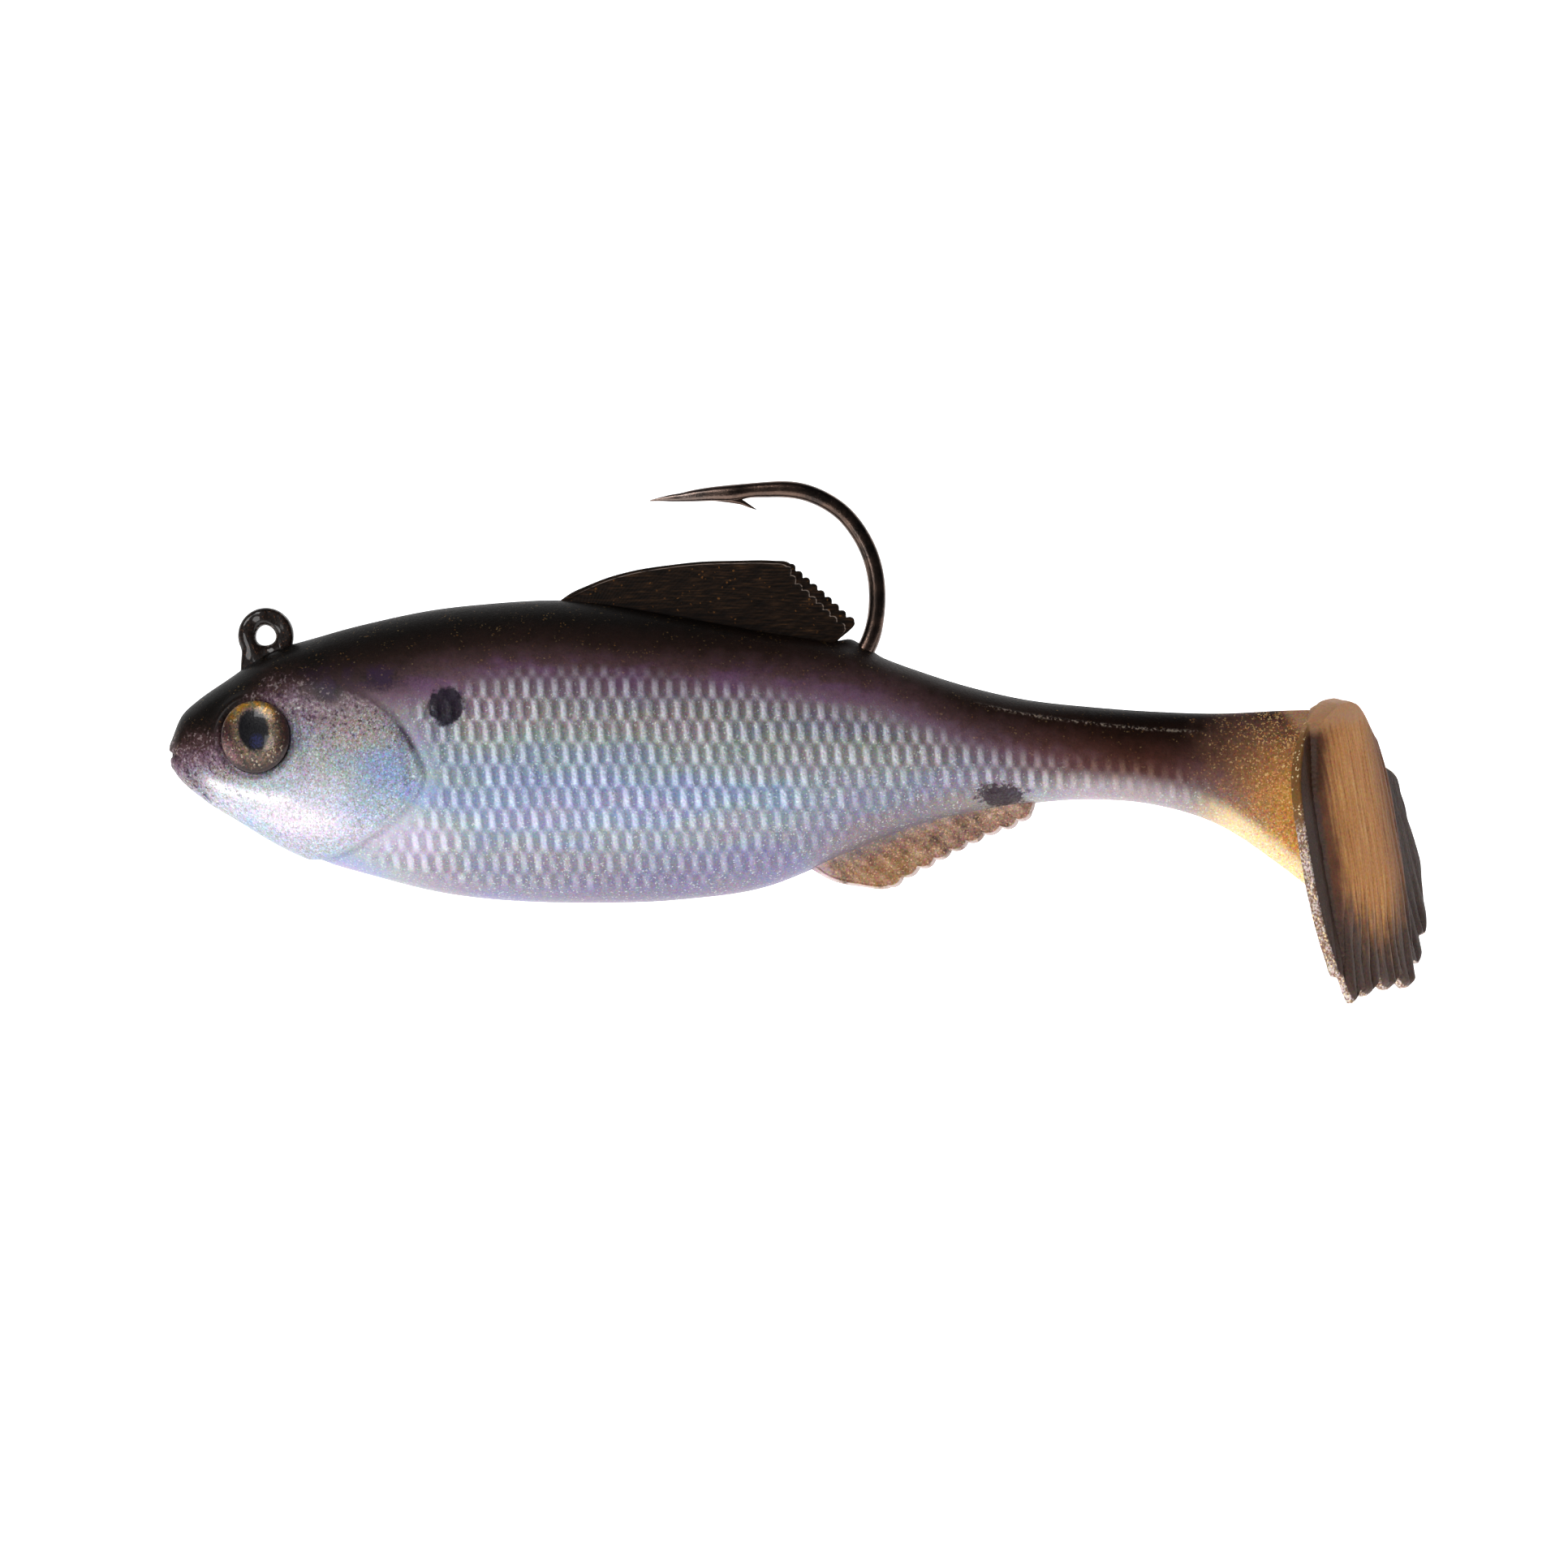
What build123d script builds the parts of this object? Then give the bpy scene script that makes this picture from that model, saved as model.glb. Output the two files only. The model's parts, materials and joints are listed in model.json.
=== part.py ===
"""Pre-rigged soft swimbait: a soft shad body cast round a lead head, a single hook and a line tie.

Units are millimetres. The origin is the centre of the line tie's hole. +X runs from the nose to the
tail, +Z is up, and the bait's left side faces -Y. The soft casting is split into segments where it
flexes: three times along the tail stalk, once at the paddle, and at the root of each fin.
"""
from build123d import *
import math
import os

# ---- body casting -------------------------------------------------------------------------------
BODY_LENGTH = 97.8  # nose to the end of the tail web
BODY_DEPTH = 24.4  # deepest section, back to belly
BODY_WIDTH = 12.5  # widest section
NOSE_AHEAD = 7.7  # nose ahead of the line tie
SHANK_DROP = 5.5  # hook shank's axis below the line tie's hole

# (share of the length, back above the shank, belly above the shank, half width), in percent of the
# body's length, depth, depth and width. The sections are upright ellipses through these four values.
BODY_STATIONS = [
    (0, -11.5, -21, 7),
    (1, -3.5, -28, 18.5),
    (3.5, 4.5, -34.5, 27.5),
    (8.5, 16.5, -46, 38.5),
    (16, 26.5, -56.5, 46.5),
    (25, 32.5, -64.5, 50),
    (33, 33.5, -66, 50),
    (43, 27, -65, 47),
    (54, 20.5, -55, 39.5),
    (62, 11, -43, 31.5),
    (70, 2, -33.5, 24.5),
    (78, -2, -32, 18.5),
    (85, -3.5, -36.5, 15),
    (91, -3, -50, 12.5),
    (96, -2, -65, 11),
    (100, -1, -76.5, 10),
]

# ---- flexing places -----------------------------------------------------------------------------
STALK_FLEX_STATIONS = (75.0, 81.0, 87.0)  # percent of the body's length
FLEX_GAP = 0.3  # clearance round each flexing knuckle
FIN_GAP = 0.2  # clearance round each fin's rounded root

# ---- hook ---------------------------------------------------------------------------------------
WIRE_DIAMETER = 1.4
HOOK_SIDE_STATION = 58.65  # where the bend reaches furthest back, percent of the body's length
HEEL_RADIUS = 8.3  # shank into the bend
SIDE_RADIUS = 10.5  # flatter side of the bend
SIDE_ANGLE = 37.0
CROWN_RADIUS = 6.9  # bend into the point leg
CROWN_ANGLE = 58.0
POINT_LEG = 10.1
POINT_TAPER = 6.4
POINT_TIP_RADIUS = 0.06
BARB_ROOT = 6.0  # from the point's tip
BARB_LENGTH = 2.3
BARB_DROP = 1.45
BARB_THICKNESS = 0.6
HOOK_EYE_RADIUS = 1.35  # centreline radius of the hook's own eye, hidden in the lead
HOOK_EYE_WIRE = 1.1
HOOK_EYE_BEHIND = 5.2  # hook eye's centre behind the line tie

# ---- line tie -----------------------------------------------------------------------------------
TIE_RING_RADIUS = 2.2
TIE_HOLE_RADIUS = 0.8
TIE_THICKNESS = 1.5
TIE_STEM_WIDTH = 3.0
TIE_FOOT_WIDTH = 4.2
TIE_FOOT_HEIGHT = 1.2
TIE_DEPTH = 9.4  # foot's lower face below the hole
TIE_ROUNDING = 0.3

# ---- lead head ----------------------------------------------------------------------------------
LEAD_LENGTH = 14.0
LEAD_RADIUS = 4.2
LEAD_EYE_GAP = 0.35  # between the lead's flats and the eyes
LEAD_AHEAD = 5.2  # lead's nose ahead of the line tie
LEAD_DROP = 7.5  # lead's axis below the line tie's hole
COLLAR_RADIUS = 1.7
COLLAR_LENGTH = 6.0
KEEPER_RISE = 0.45  # height of the keeper ridges on the collar
KEEPER_LENGTH = 1.6
KEEPER_COUNT = 2

# ---- eyes ---------------------------------------------------------------------------------------
EYE_RADIUS = 2.9
EYE_STATION = 7.3  # percent of the body's length
EYE_DROP = 8.25  # eye's centre below the line tie's hole
EYE_SEAT = 0.8  # socket's depth under the skin
EYE_BULGE = 0.5  # dome above the skin
EYE_FOIL = 0.2

# ---- flash foils --------------------------------------------------------------------------------
FOIL_THICKNESS = 0.2
FOIL_COLLAR_GAP = 0.3  # foil beside the keeper ridges
FOIL_INSET = 4.0  # foil's edge inside the back and the belly
FOIL_LEAD_GAP = 1.0  # foil's front edge behind the lead head
FOIL_REAR_STATION = 52.0

# ---- fins ---------------------------------------------------------------------------------------
DORSAL_FRONT_STATION = 33.2
DORSAL_HEIGHT = 5.95
DORSAL_THICKNESS = 1.6
DORSAL_HOOK_GAP = 1.4  # fin's rear tip in front of the hook
DORSAL_OVERHANG = 1.3  # rear tip behind the fin's root
DORSAL_LIFT = 0.2  # hinge line above the back
ANAL_FRONT_STATION = 53.8
ANAL_REAR_STATION = 70.8
ANAL_HEIGHT = 3.6
ANAL_THICKNESS = 1.4
ANAL_LIFT = 0.2

# ---- paddle -------------------------------------------------------------------------------------
PADDLE_HEIGHT = 24.7
PADDLE_WIDTH = 15.4
PADDLE_THICKNESS = 1.4
PADDLE_TILT = 9.5  # the paddle's lower end leans back
PADDLE_TWIST = 37.0  # the paddle's kick at rest: its left edge forward
PADDLE_DROP = 3.5  # paddle's middle below the web's middle
PADDLE_PROUD = 0.2  # paddle's rear face behind the hub
HUB_STATION = 97.8
HUB_RADIUS = 1.5
HUB_INSET = 0.6  # hub's ends inside the web's height

BIG = 200.0  # larger than the bait, for cutting blocks

shank_z = -SHANK_DROP
wire_radius = WIRE_DIAMETER / 2


def body_x(percent):
    """X of a station given in percent of the body's length."""
    return -NOSE_AHEAD + BODY_LENGTH * percent / 100


def body_at(x):
    """Back height, belly height and half width of the body at x."""
    percent = (x + NOSE_AHEAD) / BODY_LENGTH * 100
    pairs = zip(BODY_STATIONS, BODY_STATIONS[1:])
    before, after = next(pair for pair in pairs if percent <= pair[1][0])
    share = (percent - before[0]) / (after[0] - before[0])
    back, belly, half = (a + (b - a) * share for a, b in zip(before[1:], after[1:]))
    back_z = shank_z + BODY_DEPTH * back / 100
    belly_z = shank_z + BODY_DEPTH * belly / 100
    return back_z, belly_z, BODY_WIDTH * half / 100


def make_body():
    """The whole soft body, before it is split and hollowed."""
    sections = []
    for percent, *_ in BODY_STATIONS:
        x = body_x(percent)
        back_z, belly_z, half = body_at(x)
        middle = (x, 0, (back_z + belly_z) / 2)
        upright = Plane(origin=middle, x_dir=(0, 1, 0), z_dir=(1, 0, 0))
        sections.append(upright * Ellipse(half, (back_z - belly_z) / 2))
    return loft(sections)


def slab(front, rear):
    """A block that holds everything between two X positions."""
    return Pos((front + rear) / 2, 0, 0) * Box(rear - front, BIG, BIG)


def knuckle(x, radius):
    """An upright cylinder, the rounded front end of a stalk segment."""
    return Pos(x, 0, 0) * Cylinder(radius, BIG)


def mirrored(solid):
    """The same piece on the bait's right side."""
    return mirror(solid, about=Plane.XZ)


# ---- hook, line tie and lead --------------------------------------------------------------------
hook_side_x = body_x(HOOK_SIDE_STATION)


def make_hook():
    """One wire: closed eye, shank, bend and barbed point, in the bait's middle plane."""
    shank = Line((HOOK_EYE_BEHIND + HOOK_EYE_RADIUS, shank_z), (hook_side_x - HEEL_RADIUS, shank_z))
    heel = JernArc(shank @ 1, shank % 1, HEEL_RADIUS, 90)
    side = JernArc(heel @ 1, heel % 1, SIDE_RADIUS, SIDE_ANGLE)
    crown = JernArc(side @ 1, side % 1, CROWN_RADIUS, CROWN_ANGLE)
    leg_way = crown % 1
    taper_start = crown @ 1 + leg_way * (POINT_LEG - POINT_TAPER)
    leg = Line(crown @ 1, taper_start)
    path = Plane.XZ * Wire([*shank.edges(), *heel.edges(), *side.edges(), *crown.edges(), *leg.edges()])
    wire = sweep(Plane(origin=path @ 0, z_dir=path % 0) * Circle(wire_radius), path=path)

    leg_plane = Plane(origin=path @ 1, x_dir=(0, 1, 0), z_dir=path % 1)
    point = leg_plane * Pos(0, 0, POINT_TAPER / 2) * Cone(wire_radius, POINT_TIP_RADIUS, POINT_TAPER)
    tip = taper_start + leg_way * POINT_TAPER
    inward = Vector(-leg_way.Y, leg_way.X, 0)  # square to the leg, towards the shank
    barb_root = tip - leg_way * BARB_ROOT
    barb_tip = barb_root - leg_way * BARB_LENGTH + inward * BARB_DROP
    barb_heel = barb_root - leg_way * (BARB_LENGTH / 2) + inward * (wire_radius / 2)
    barb_outline = make_face(Polyline(barb_root, barb_tip, barb_heel, close=True))
    barb = extrude(Plane.XZ * barb_outline, BARB_THICKNESS / 2, both=True)

    eye_place = Pos(HOOK_EYE_BEHIND, 0, shank_z) * Rot(90, 0, 0)
    eye = eye_place * Torus(HOOK_EYE_RADIUS, HOOK_EYE_WIRE / 2)
    return wire + point + barb + eye


def make_line_tie():
    """A flattened ring on a stem, with a foot that locks it into the lead."""
    stem_height = TIE_DEPTH
    stem = Pos(0, -stem_height / 2) * Rectangle(TIE_STEM_WIDTH, stem_height)
    foot = Pos(0, TIE_FOOT_HEIGHT / 2 - TIE_DEPTH) * Rectangle(TIE_FOOT_WIDTH, TIE_FOOT_HEIGHT)
    outline = Circle(TIE_RING_RADIUS) + stem + foot - Circle(TIE_HOLE_RADIUS)
    plate = extrude(Plane.XZ * outline, TIE_THICKNESS / 2, both=True)
    return fillet(plate.edges().filter_by(Axis.Y, reverse=True), TIE_ROUNDING)


def eye_place():
    """Where the left eye sits: local +Z points out of the skin."""
    x, z = body_x(EYE_STATION), -EYE_DROP
    back_z, belly_z, half = body_at(x)
    height_share = (z - (back_z + belly_z) / 2) / ((back_z - belly_z) / 2)
    skin_y = half * math.sqrt(1 - height_share**2)
    reach = EYE_RADIUS / 2
    slope = (body_at(x + reach)[2] - body_at(x - reach)[2]) / (2 * reach)
    yaw = math.atan(slope)
    outward = (-math.sin(yaw), -math.cos(yaw), 0)
    return Plane(origin=(x, -skin_y, z), x_dir=(math.cos(yaw), -math.sin(yaw), 0), z_dir=outward)


def lead_half_width():
    """The lead's flats stay clear of the eye's innermost edge."""
    place = eye_place()
    seat_y = abs(place.origin.Y) + EYE_SEAT * place.z_dir.Y
    return seat_y - EYE_RADIUS * abs(place.z_dir.X) - LEAD_EYE_GAP


def make_lead(hook, line_tie):
    """Bullet-shaped weight with flats beside the eyes and a keeper collar on the shank."""
    nose = ThreePointArc((0, 0), (LEAD_LENGTH * 0.18, LEAD_RADIUS * 0.75), (LEAD_LENGTH * 0.5, LEAD_RADIUS))
    tail = ThreePointArc(nose @ 1, (LEAD_LENGTH * 0.8, LEAD_RADIUS * 0.88), (LEAD_LENGTH, LEAD_RADIUS * 0.6))
    rear = Line(tail @ 1, (LEAD_LENGTH, 0))
    profile = make_face([*nose.edges(), *tail.edges(), *rear.edges(), *Line(rear @ 1, nose @ 0).edges()])
    bullet = revolve(Plane.XZ * profile, Axis.X) & Box(BIG, 2 * lead_half_width(), BIG)
    bullet = Pos(-LEAD_AHEAD, 0, -LEAD_DROP) * bullet

    lead_rear = LEAD_LENGTH - LEAD_AHEAD
    embedded = LEAD_RADIUS / 2  # how far the collar starts inside the bullet
    along_shank = Rot(0, 90, 0)
    collar_middle = lead_rear + (COLLAR_LENGTH - embedded) / 2
    collar = Pos(collar_middle, 0, shank_z) * along_shank * Cylinder(COLLAR_RADIUS, COLLAR_LENGTH + embedded)
    lead = bullet + collar
    for number in range(KEEPER_COUNT):
        middle = lead_rear + COLLAR_LENGTH * (number + 1) / (KEEPER_COUNT + 0.6)
        ridge = Cone(COLLAR_RADIUS + KEEPER_RISE, COLLAR_RADIUS - KEEPER_RISE, KEEPER_LENGTH)
        lead += Pos(middle, 0, shank_z) * along_shank * ridge
    return lead - hook - line_tie


# ---- eyes and flash foils -----------------------------------------------------------------------
def make_eye():
    """Left eye: a printed foil disc under a clear dome."""
    place = eye_place()
    foil = place * Pos(0, 0, EYE_FOIL / 2 - EYE_SEAT) * Cylinder(EYE_RADIUS, EYE_FOIL)
    wall = EYE_SEAT - EYE_FOIL
    cap_radius = (EYE_RADIUS**2 + EYE_BULGE**2) / (2 * EYE_BULGE)
    column = Pos(0, 0, (EYE_BULGE - wall) / 2) * Cylinder(EYE_RADIUS, wall + EYE_BULGE)
    cap = Pos(0, 0, EYE_BULGE - cap_radius) * Sphere(cap_radius)
    return foil, place * (column & cap)


def make_flash_foil():
    """Left flash foil: a flat film that follows the body's outline, inset all round."""
    front = LEAD_LENGTH - LEAD_AHEAD + FOIL_LEAD_GAP
    rear = body_x(FOIL_REAR_STATION)
    inner = [body_x(s[0]) for s in BODY_STATIONS if front + FOIL_INSET < body_x(s[0]) < rear - FOIL_INSET]
    places = [front, *inner, rear]
    upper = Spline([(x, body_at(x)[0] - FOIL_INSET) for x in places])
    lower = Spline([(x, body_at(x)[1] + FOIL_INSET) for x in places])
    ends = [Line(upper @ end, lower @ end) for end in (0, 1)]
    outline = make_face([*upper.edges(), *lower.edges(), *ends[0].edges(), *ends[1].edges()])
    film = extrude(Plane.XZ * outline, FOIL_THICKNESS / 2, both=True)
    beside_collar = COLLAR_RADIUS + KEEPER_RISE + FOIL_COLLAR_GAP + FOIL_THICKNESS / 2
    return Pos(0, -beside_collar, 0) * film


# ---- fins ---------------------------------------------------------------------------------------
def root_frame(front, rear):
    """Plane in the bait's middle with local +X along a fin's root line."""
    way = rear - front
    return Plane(origin=front, x_dir=way, z_dir=(0, -1, 0)), way.length


def dorsal_root():
    """Front and rear ends of the dorsal fin's root line."""
    tip_x = hook_side_x - wire_radius - DORSAL_HOOK_GAP
    front_x, rear_x = body_x(DORSAL_FRONT_STATION), tip_x - DORSAL_OVERHANG
    return [Vector(x, 0, body_at(x)[0] + DORSAL_LIFT) for x in (front_x, rear_x)]


def anal_root():
    """Front and rear ends of the anal fin's root line."""
    ends = (body_x(ANAL_FRONT_STATION), body_x(ANAL_REAR_STATION))
    return [Vector(x, 0, body_at(x)[1] - ANAL_LIFT) for x in ends]


def root_bar(ends, radius):
    """A cylinder along a fin's root line."""
    frame, length = root_frame(*ends)
    return frame * Pos(length / 2, 0, 0) * Rot(0, 90, 0) * Cylinder(radius, length)


def make_dorsal_fin():
    """Thin flap with a curved front edge and a raked rear edge."""
    frame, length = root_frame(*dorsal_root())
    front = Spline([(0, 0), (length * 0.22, DORSAL_HEIGHT * 0.56), (length * 0.45, DORSAL_HEIGHT * 0.82),
                    (length * 0.77, DORSAL_HEIGHT)])
    rear = Polyline(front @ 1, (length + DORSAL_OVERHANG, DORSAL_HEIGHT * 0.3), (length, 0), front @ 0)
    outline = make_face([*front.edges(), *rear.edges()])
    flap = extrude(frame * outline, DORSAL_THICKNESS / 2, both=True)
    return flap + root_bar(dorsal_root(), DORSAL_THICKNESS / 2)


def make_anal_fin():
    """Thin flap that is deepest near its front."""
    frame, length = root_frame(*anal_root())
    outline = make_face(Polyline((0, 0), (length * 0.28, -ANAL_HEIGHT), (length * 0.66, -ANAL_HEIGHT * 0.58),
                                 (length * 1.04, -ANAL_HEIGHT * 0.31), (length, 0), close=True))
    flap = extrude(frame * outline, ANAL_THICKNESS / 2, both=True)
    return flap + root_bar(anal_root(), ANAL_THICKNESS / 2)


# ---- tail stalk and paddle ----------------------------------------------------------------------
stalk_xs = [body_x(percent) for percent in STALK_FLEX_STATIONS]


def make_segment(body, number):
    """The stalk between one flexing place and the next, or the web where it is the last."""
    front = stalk_xs[number]
    radius = body_at(front)[2]
    rear = stalk_xs[number + 1] if number + 1 < len(stalk_xs) else front + BIG
    segment = (body & slab(front, rear)) + (body & knuckle(front, radius))
    if number + 1 < len(stalk_xs):
        return segment - knuckle(rear, body_at(rear)[2] + FLEX_GAP)
    ahead_of_hub = hub_place() * Pos(-BIG / 2, 0, 0) * Box(BIG, BIG, BIG)
    return (segment & ahead_of_hub) - hub_place() * Cylinder(HUB_RADIUS + FLEX_GAP, BIG)


def hub_place():
    """The paddle's hinge: local +Z runs up the hinge line and local +X to the rear."""
    x = body_x(HUB_STATION)
    back_z, belly_z, _ = body_at(x)
    tilt = math.radians(PADDLE_TILT)
    return Location(Plane(origin=(x, 0, (back_z + belly_z) / 2), x_dir=(math.cos(tilt), 0, math.sin(tilt)),
                          z_dir=(-math.sin(tilt), 0, math.cos(tilt))))


def make_paddle():
    """Oval paddle across the end of the web, on an upright hub."""
    back_z, belly_z, _ = body_at(body_x(HUB_STATION))
    hub = Cylinder(HUB_RADIUS, back_z - belly_z - 2 * HUB_INSET)
    front_face = HUB_RADIUS + PADDLE_PROUD - PADDLE_THICKNESS
    oval = Pos(0, -PADDLE_DROP) * Ellipse(PADDLE_WIDTH / 2, PADDLE_HEIGHT / 2)
    plate = Pos(front_face, 0, 0) * extrude(Plane.YZ * oval, PADDLE_THICKNESS)
    return hub_place() * Rot(0, 0, -PADDLE_TWIST) * (hub + plate)


def make_trunk(body, inner):
    """Head and belly casting, with the space for everything that is cast into it."""
    first = stalk_xs[0]
    trunk = body & slab(body_x(0) - BIG, first)
    trunk -= knuckle(first, body_at(first)[2] + FLEX_GAP)
    trunk -= root_bar(dorsal_root(), DORSAL_THICKNESS / 2 + FIN_GAP)
    trunk -= root_bar(anal_root(), ANAL_THICKNESS / 2 + FIN_GAP)
    for piece in inner:
        trunk -= piece
    return trunk


def main():
    os.makedirs("parts", exist_ok=True)
    body = make_body()
    hook = make_hook()
    line_tie = make_line_tie()
    lead = make_lead(hook, line_tie)
    eye_foil, eye_dome = make_eye()
    flash_foil = make_flash_foil()
    nodes = {
        "jig_hook": hook,
        "line_tie": line_tie,
        "lead_head": lead,
        "eye_foil_left": eye_foil,
        "eye_foil_right": mirrored(eye_foil),
        "eye_dome_left": eye_dome,
        "eye_dome_right": mirrored(eye_dome),
        "flash_foil_left": flash_foil,
        "flash_foil_right": mirrored(flash_foil),
    }
    nodes["trunk_casting"] = make_trunk(body, list(nodes.values()))
    nodes["dorsal_fin"] = make_dorsal_fin()
    nodes["anal_fin"] = make_anal_fin()
    nodes["tail_stalk_front"] = make_segment(body, 0)
    nodes["tail_stalk_rear"] = make_segment(body, 1)
    nodes["tail_web"] = make_segment(body, 2)
    nodes["paddle_tail"] = make_paddle()
    for name, solid in nodes.items():
        export_step(solid, f"parts/{name}.step")
    report_joints()


def report_joints():
    """Prints each hinge's point and axis, for the record."""
    for number, x in enumerate(stalk_xs):
        back_z, belly_z, _ = body_at(x)
        print("stalk hinge", number, round(x, 3), 0, round((back_z + belly_z) / 2, 3))
    hub = hub_place()
    print("paddle hinge", hub.position, Plane(hub).z_dir)
    for name, (front, rear) in {"dorsal": dorsal_root(), "anal": anal_root()}.items():
        print(name, "hinge", front, rear, (rear - front).normalized())


main()
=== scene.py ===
"""Looks of the pre-rigged shad swimbait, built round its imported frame.

The frame's origin is the centre of the line tie's hole, +X runs from the nose to the tail and +Z is up.
Shapes are worked out in millimetres in that frame and turned into metres as each mesh is made.
"""
import json
import math

import bpy
import numpy as np
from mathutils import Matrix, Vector


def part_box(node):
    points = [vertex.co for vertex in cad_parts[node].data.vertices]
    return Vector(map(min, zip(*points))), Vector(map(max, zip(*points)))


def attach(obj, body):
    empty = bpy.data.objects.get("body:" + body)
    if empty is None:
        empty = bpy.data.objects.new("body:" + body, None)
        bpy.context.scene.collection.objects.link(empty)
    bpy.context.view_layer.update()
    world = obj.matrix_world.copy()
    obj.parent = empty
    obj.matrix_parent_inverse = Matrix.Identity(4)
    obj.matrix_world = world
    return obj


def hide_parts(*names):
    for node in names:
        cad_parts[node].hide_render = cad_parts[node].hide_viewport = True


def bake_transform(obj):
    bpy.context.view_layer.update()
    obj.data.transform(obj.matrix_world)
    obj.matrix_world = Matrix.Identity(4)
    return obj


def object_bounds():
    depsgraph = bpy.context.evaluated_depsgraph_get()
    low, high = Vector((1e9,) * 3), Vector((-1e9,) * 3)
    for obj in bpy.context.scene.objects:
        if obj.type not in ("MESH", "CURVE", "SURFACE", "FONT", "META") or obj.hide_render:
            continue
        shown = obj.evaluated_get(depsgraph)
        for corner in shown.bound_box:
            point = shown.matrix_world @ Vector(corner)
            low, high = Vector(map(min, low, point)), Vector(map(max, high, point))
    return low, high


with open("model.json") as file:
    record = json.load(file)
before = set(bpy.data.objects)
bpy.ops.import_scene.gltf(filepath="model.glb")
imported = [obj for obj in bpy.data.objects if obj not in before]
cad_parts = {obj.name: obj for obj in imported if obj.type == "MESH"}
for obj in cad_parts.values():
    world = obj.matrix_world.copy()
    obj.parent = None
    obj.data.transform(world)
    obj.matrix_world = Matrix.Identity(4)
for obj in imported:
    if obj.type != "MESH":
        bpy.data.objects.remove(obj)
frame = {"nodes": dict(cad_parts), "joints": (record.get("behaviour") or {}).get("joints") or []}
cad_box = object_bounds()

MM = 0.001  # metres in a millimetre
LEFT, RIGHT = -1, 1  # sides of the bait, as signs of Y

hinges = {joint["name"]: joint for joint in frame["joints"]}


def hinge_point(name):
    """A hinge's place at rest, in millimetres."""
    return np.array(hinges[name]["pos_m"]) / MM


def node_box(name):
    """Lowest and highest corner of a frame node, in millimetres."""
    low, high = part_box(name)
    return np.array(low) / MM, np.array(high) / MM


# ---- curves and meshes --------------------------------------------------------------------------
def smooth(value, low, high):
    """0 below low, 1 above high, with a soft rise between."""
    share = np.clip((value - low) / (high - low), 0, 1)
    return share * share * (3 - 2 * share)


def hump(value, width):
    """A soft bump of height 1 at zero."""
    return np.exp(-((value / width) ** 2))


def rounded_square(value, power):
    """A sine or cosine that runs fuller than a circle's, where power is under 1."""
    return np.sign(value) * np.abs(value) ** power


def through(stops, values, at):
    """A smooth curve through values at the given stops, read at any places between them."""
    stops, values, at = (np.asarray(item, float) for item in (stops, values, at))
    slopes = np.gradient(values, stops)
    index = np.clip(np.searchsorted(stops, at, side="right") - 1, 0, len(stops) - 2)
    gap = stops[index + 1] - stops[index]
    t = np.clip((at - stops[index]) / gap, 0, 1)
    rise = values[index] * (2 * t**3 - 3 * t**2 + 1) + values[index + 1] * (3 * t**2 - 2 * t**3)
    lean = slopes[index] * (t**3 - 2 * t**2 + t) + slopes[index + 1] * (t**3 - t**2)
    return rise + gap * lean


def traced(points, count=60):
    """Points along a smooth line through a few side-view points."""
    points = np.array(points, float)
    steps = np.linalg.norm(np.diff(points, axis=0), axis=1)
    stops = np.concatenate([[0], np.cumsum(steps)])
    at = np.linspace(0, stops[-1], count)
    return np.stack([through(stops, points[:, axis], at) for axis in (0, 1)], axis=1)


def offset_from(line, x, z):
    """Distance to a traced line, positive on its left as it runs, and the share of the line passed."""
    best = np.full(x.shape, 1e9)
    signed, passed = np.zeros(x.shape), np.zeros(x.shape)
    for number, (a, b) in enumerate(zip(line, line[1:])):
        way = b - a
        length = np.linalg.norm(way)
        along = np.clip(((x - a[0]) * way[0] + (z - a[1]) * way[1]) / length**2, 0, 1)
        away_x, away_z = x - a[0] - along * way[0], z - a[1] - along * way[1]
        distance = np.hypot(away_x, away_z)
        side = np.where(way[0] * (z - a[1]) - way[1] * (x - a[0]) >= 0, 1, -1)
        nearer = distance < best
        best = np.where(nearer, distance, best)
        signed = np.where(nearer, distance * side, signed)
        passed = np.where(nearer, (number + along) / (len(line) - 1), passed)
    return signed, passed


def dress(name, points, faces, finish, attributes=None, corners=None, sharp_from=None):
    """A mesh piece in its material. Attributes hold a number or vector for each point, and corners a
    normal for each face corner. Edges bent by more than sharp_from degrees stay crisp."""
    mesh = bpy.data.meshes.new(name)
    mesh.from_pydata((np.asarray(points) * MM).tolist(), [], faces)
    for label, values in {"rest": points, **(attributes or {})}.items():
        values = np.asarray(values, np.float32)
        kind, key = ("FLOAT", "value") if values.ndim == 1 else ("FLOAT_VECTOR", "vector")
        mesh.attributes.new(label, kind, "POINT").data.foreach_set(key, values.ravel())
    mesh.shade_smooth()
    if sharp_from is not None:
        mesh.set_sharp_from_angle(angle=math.radians(sharp_from))
    if corners is not None:
        mesh.normals_split_custom_set([tuple(corner) for corner in corners])
    piece = bpy.data.objects.new(name, mesh)
    bpy.context.scene.collection.objects.link(piece)
    mesh.materials.append(finish.material)
    return piece


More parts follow.
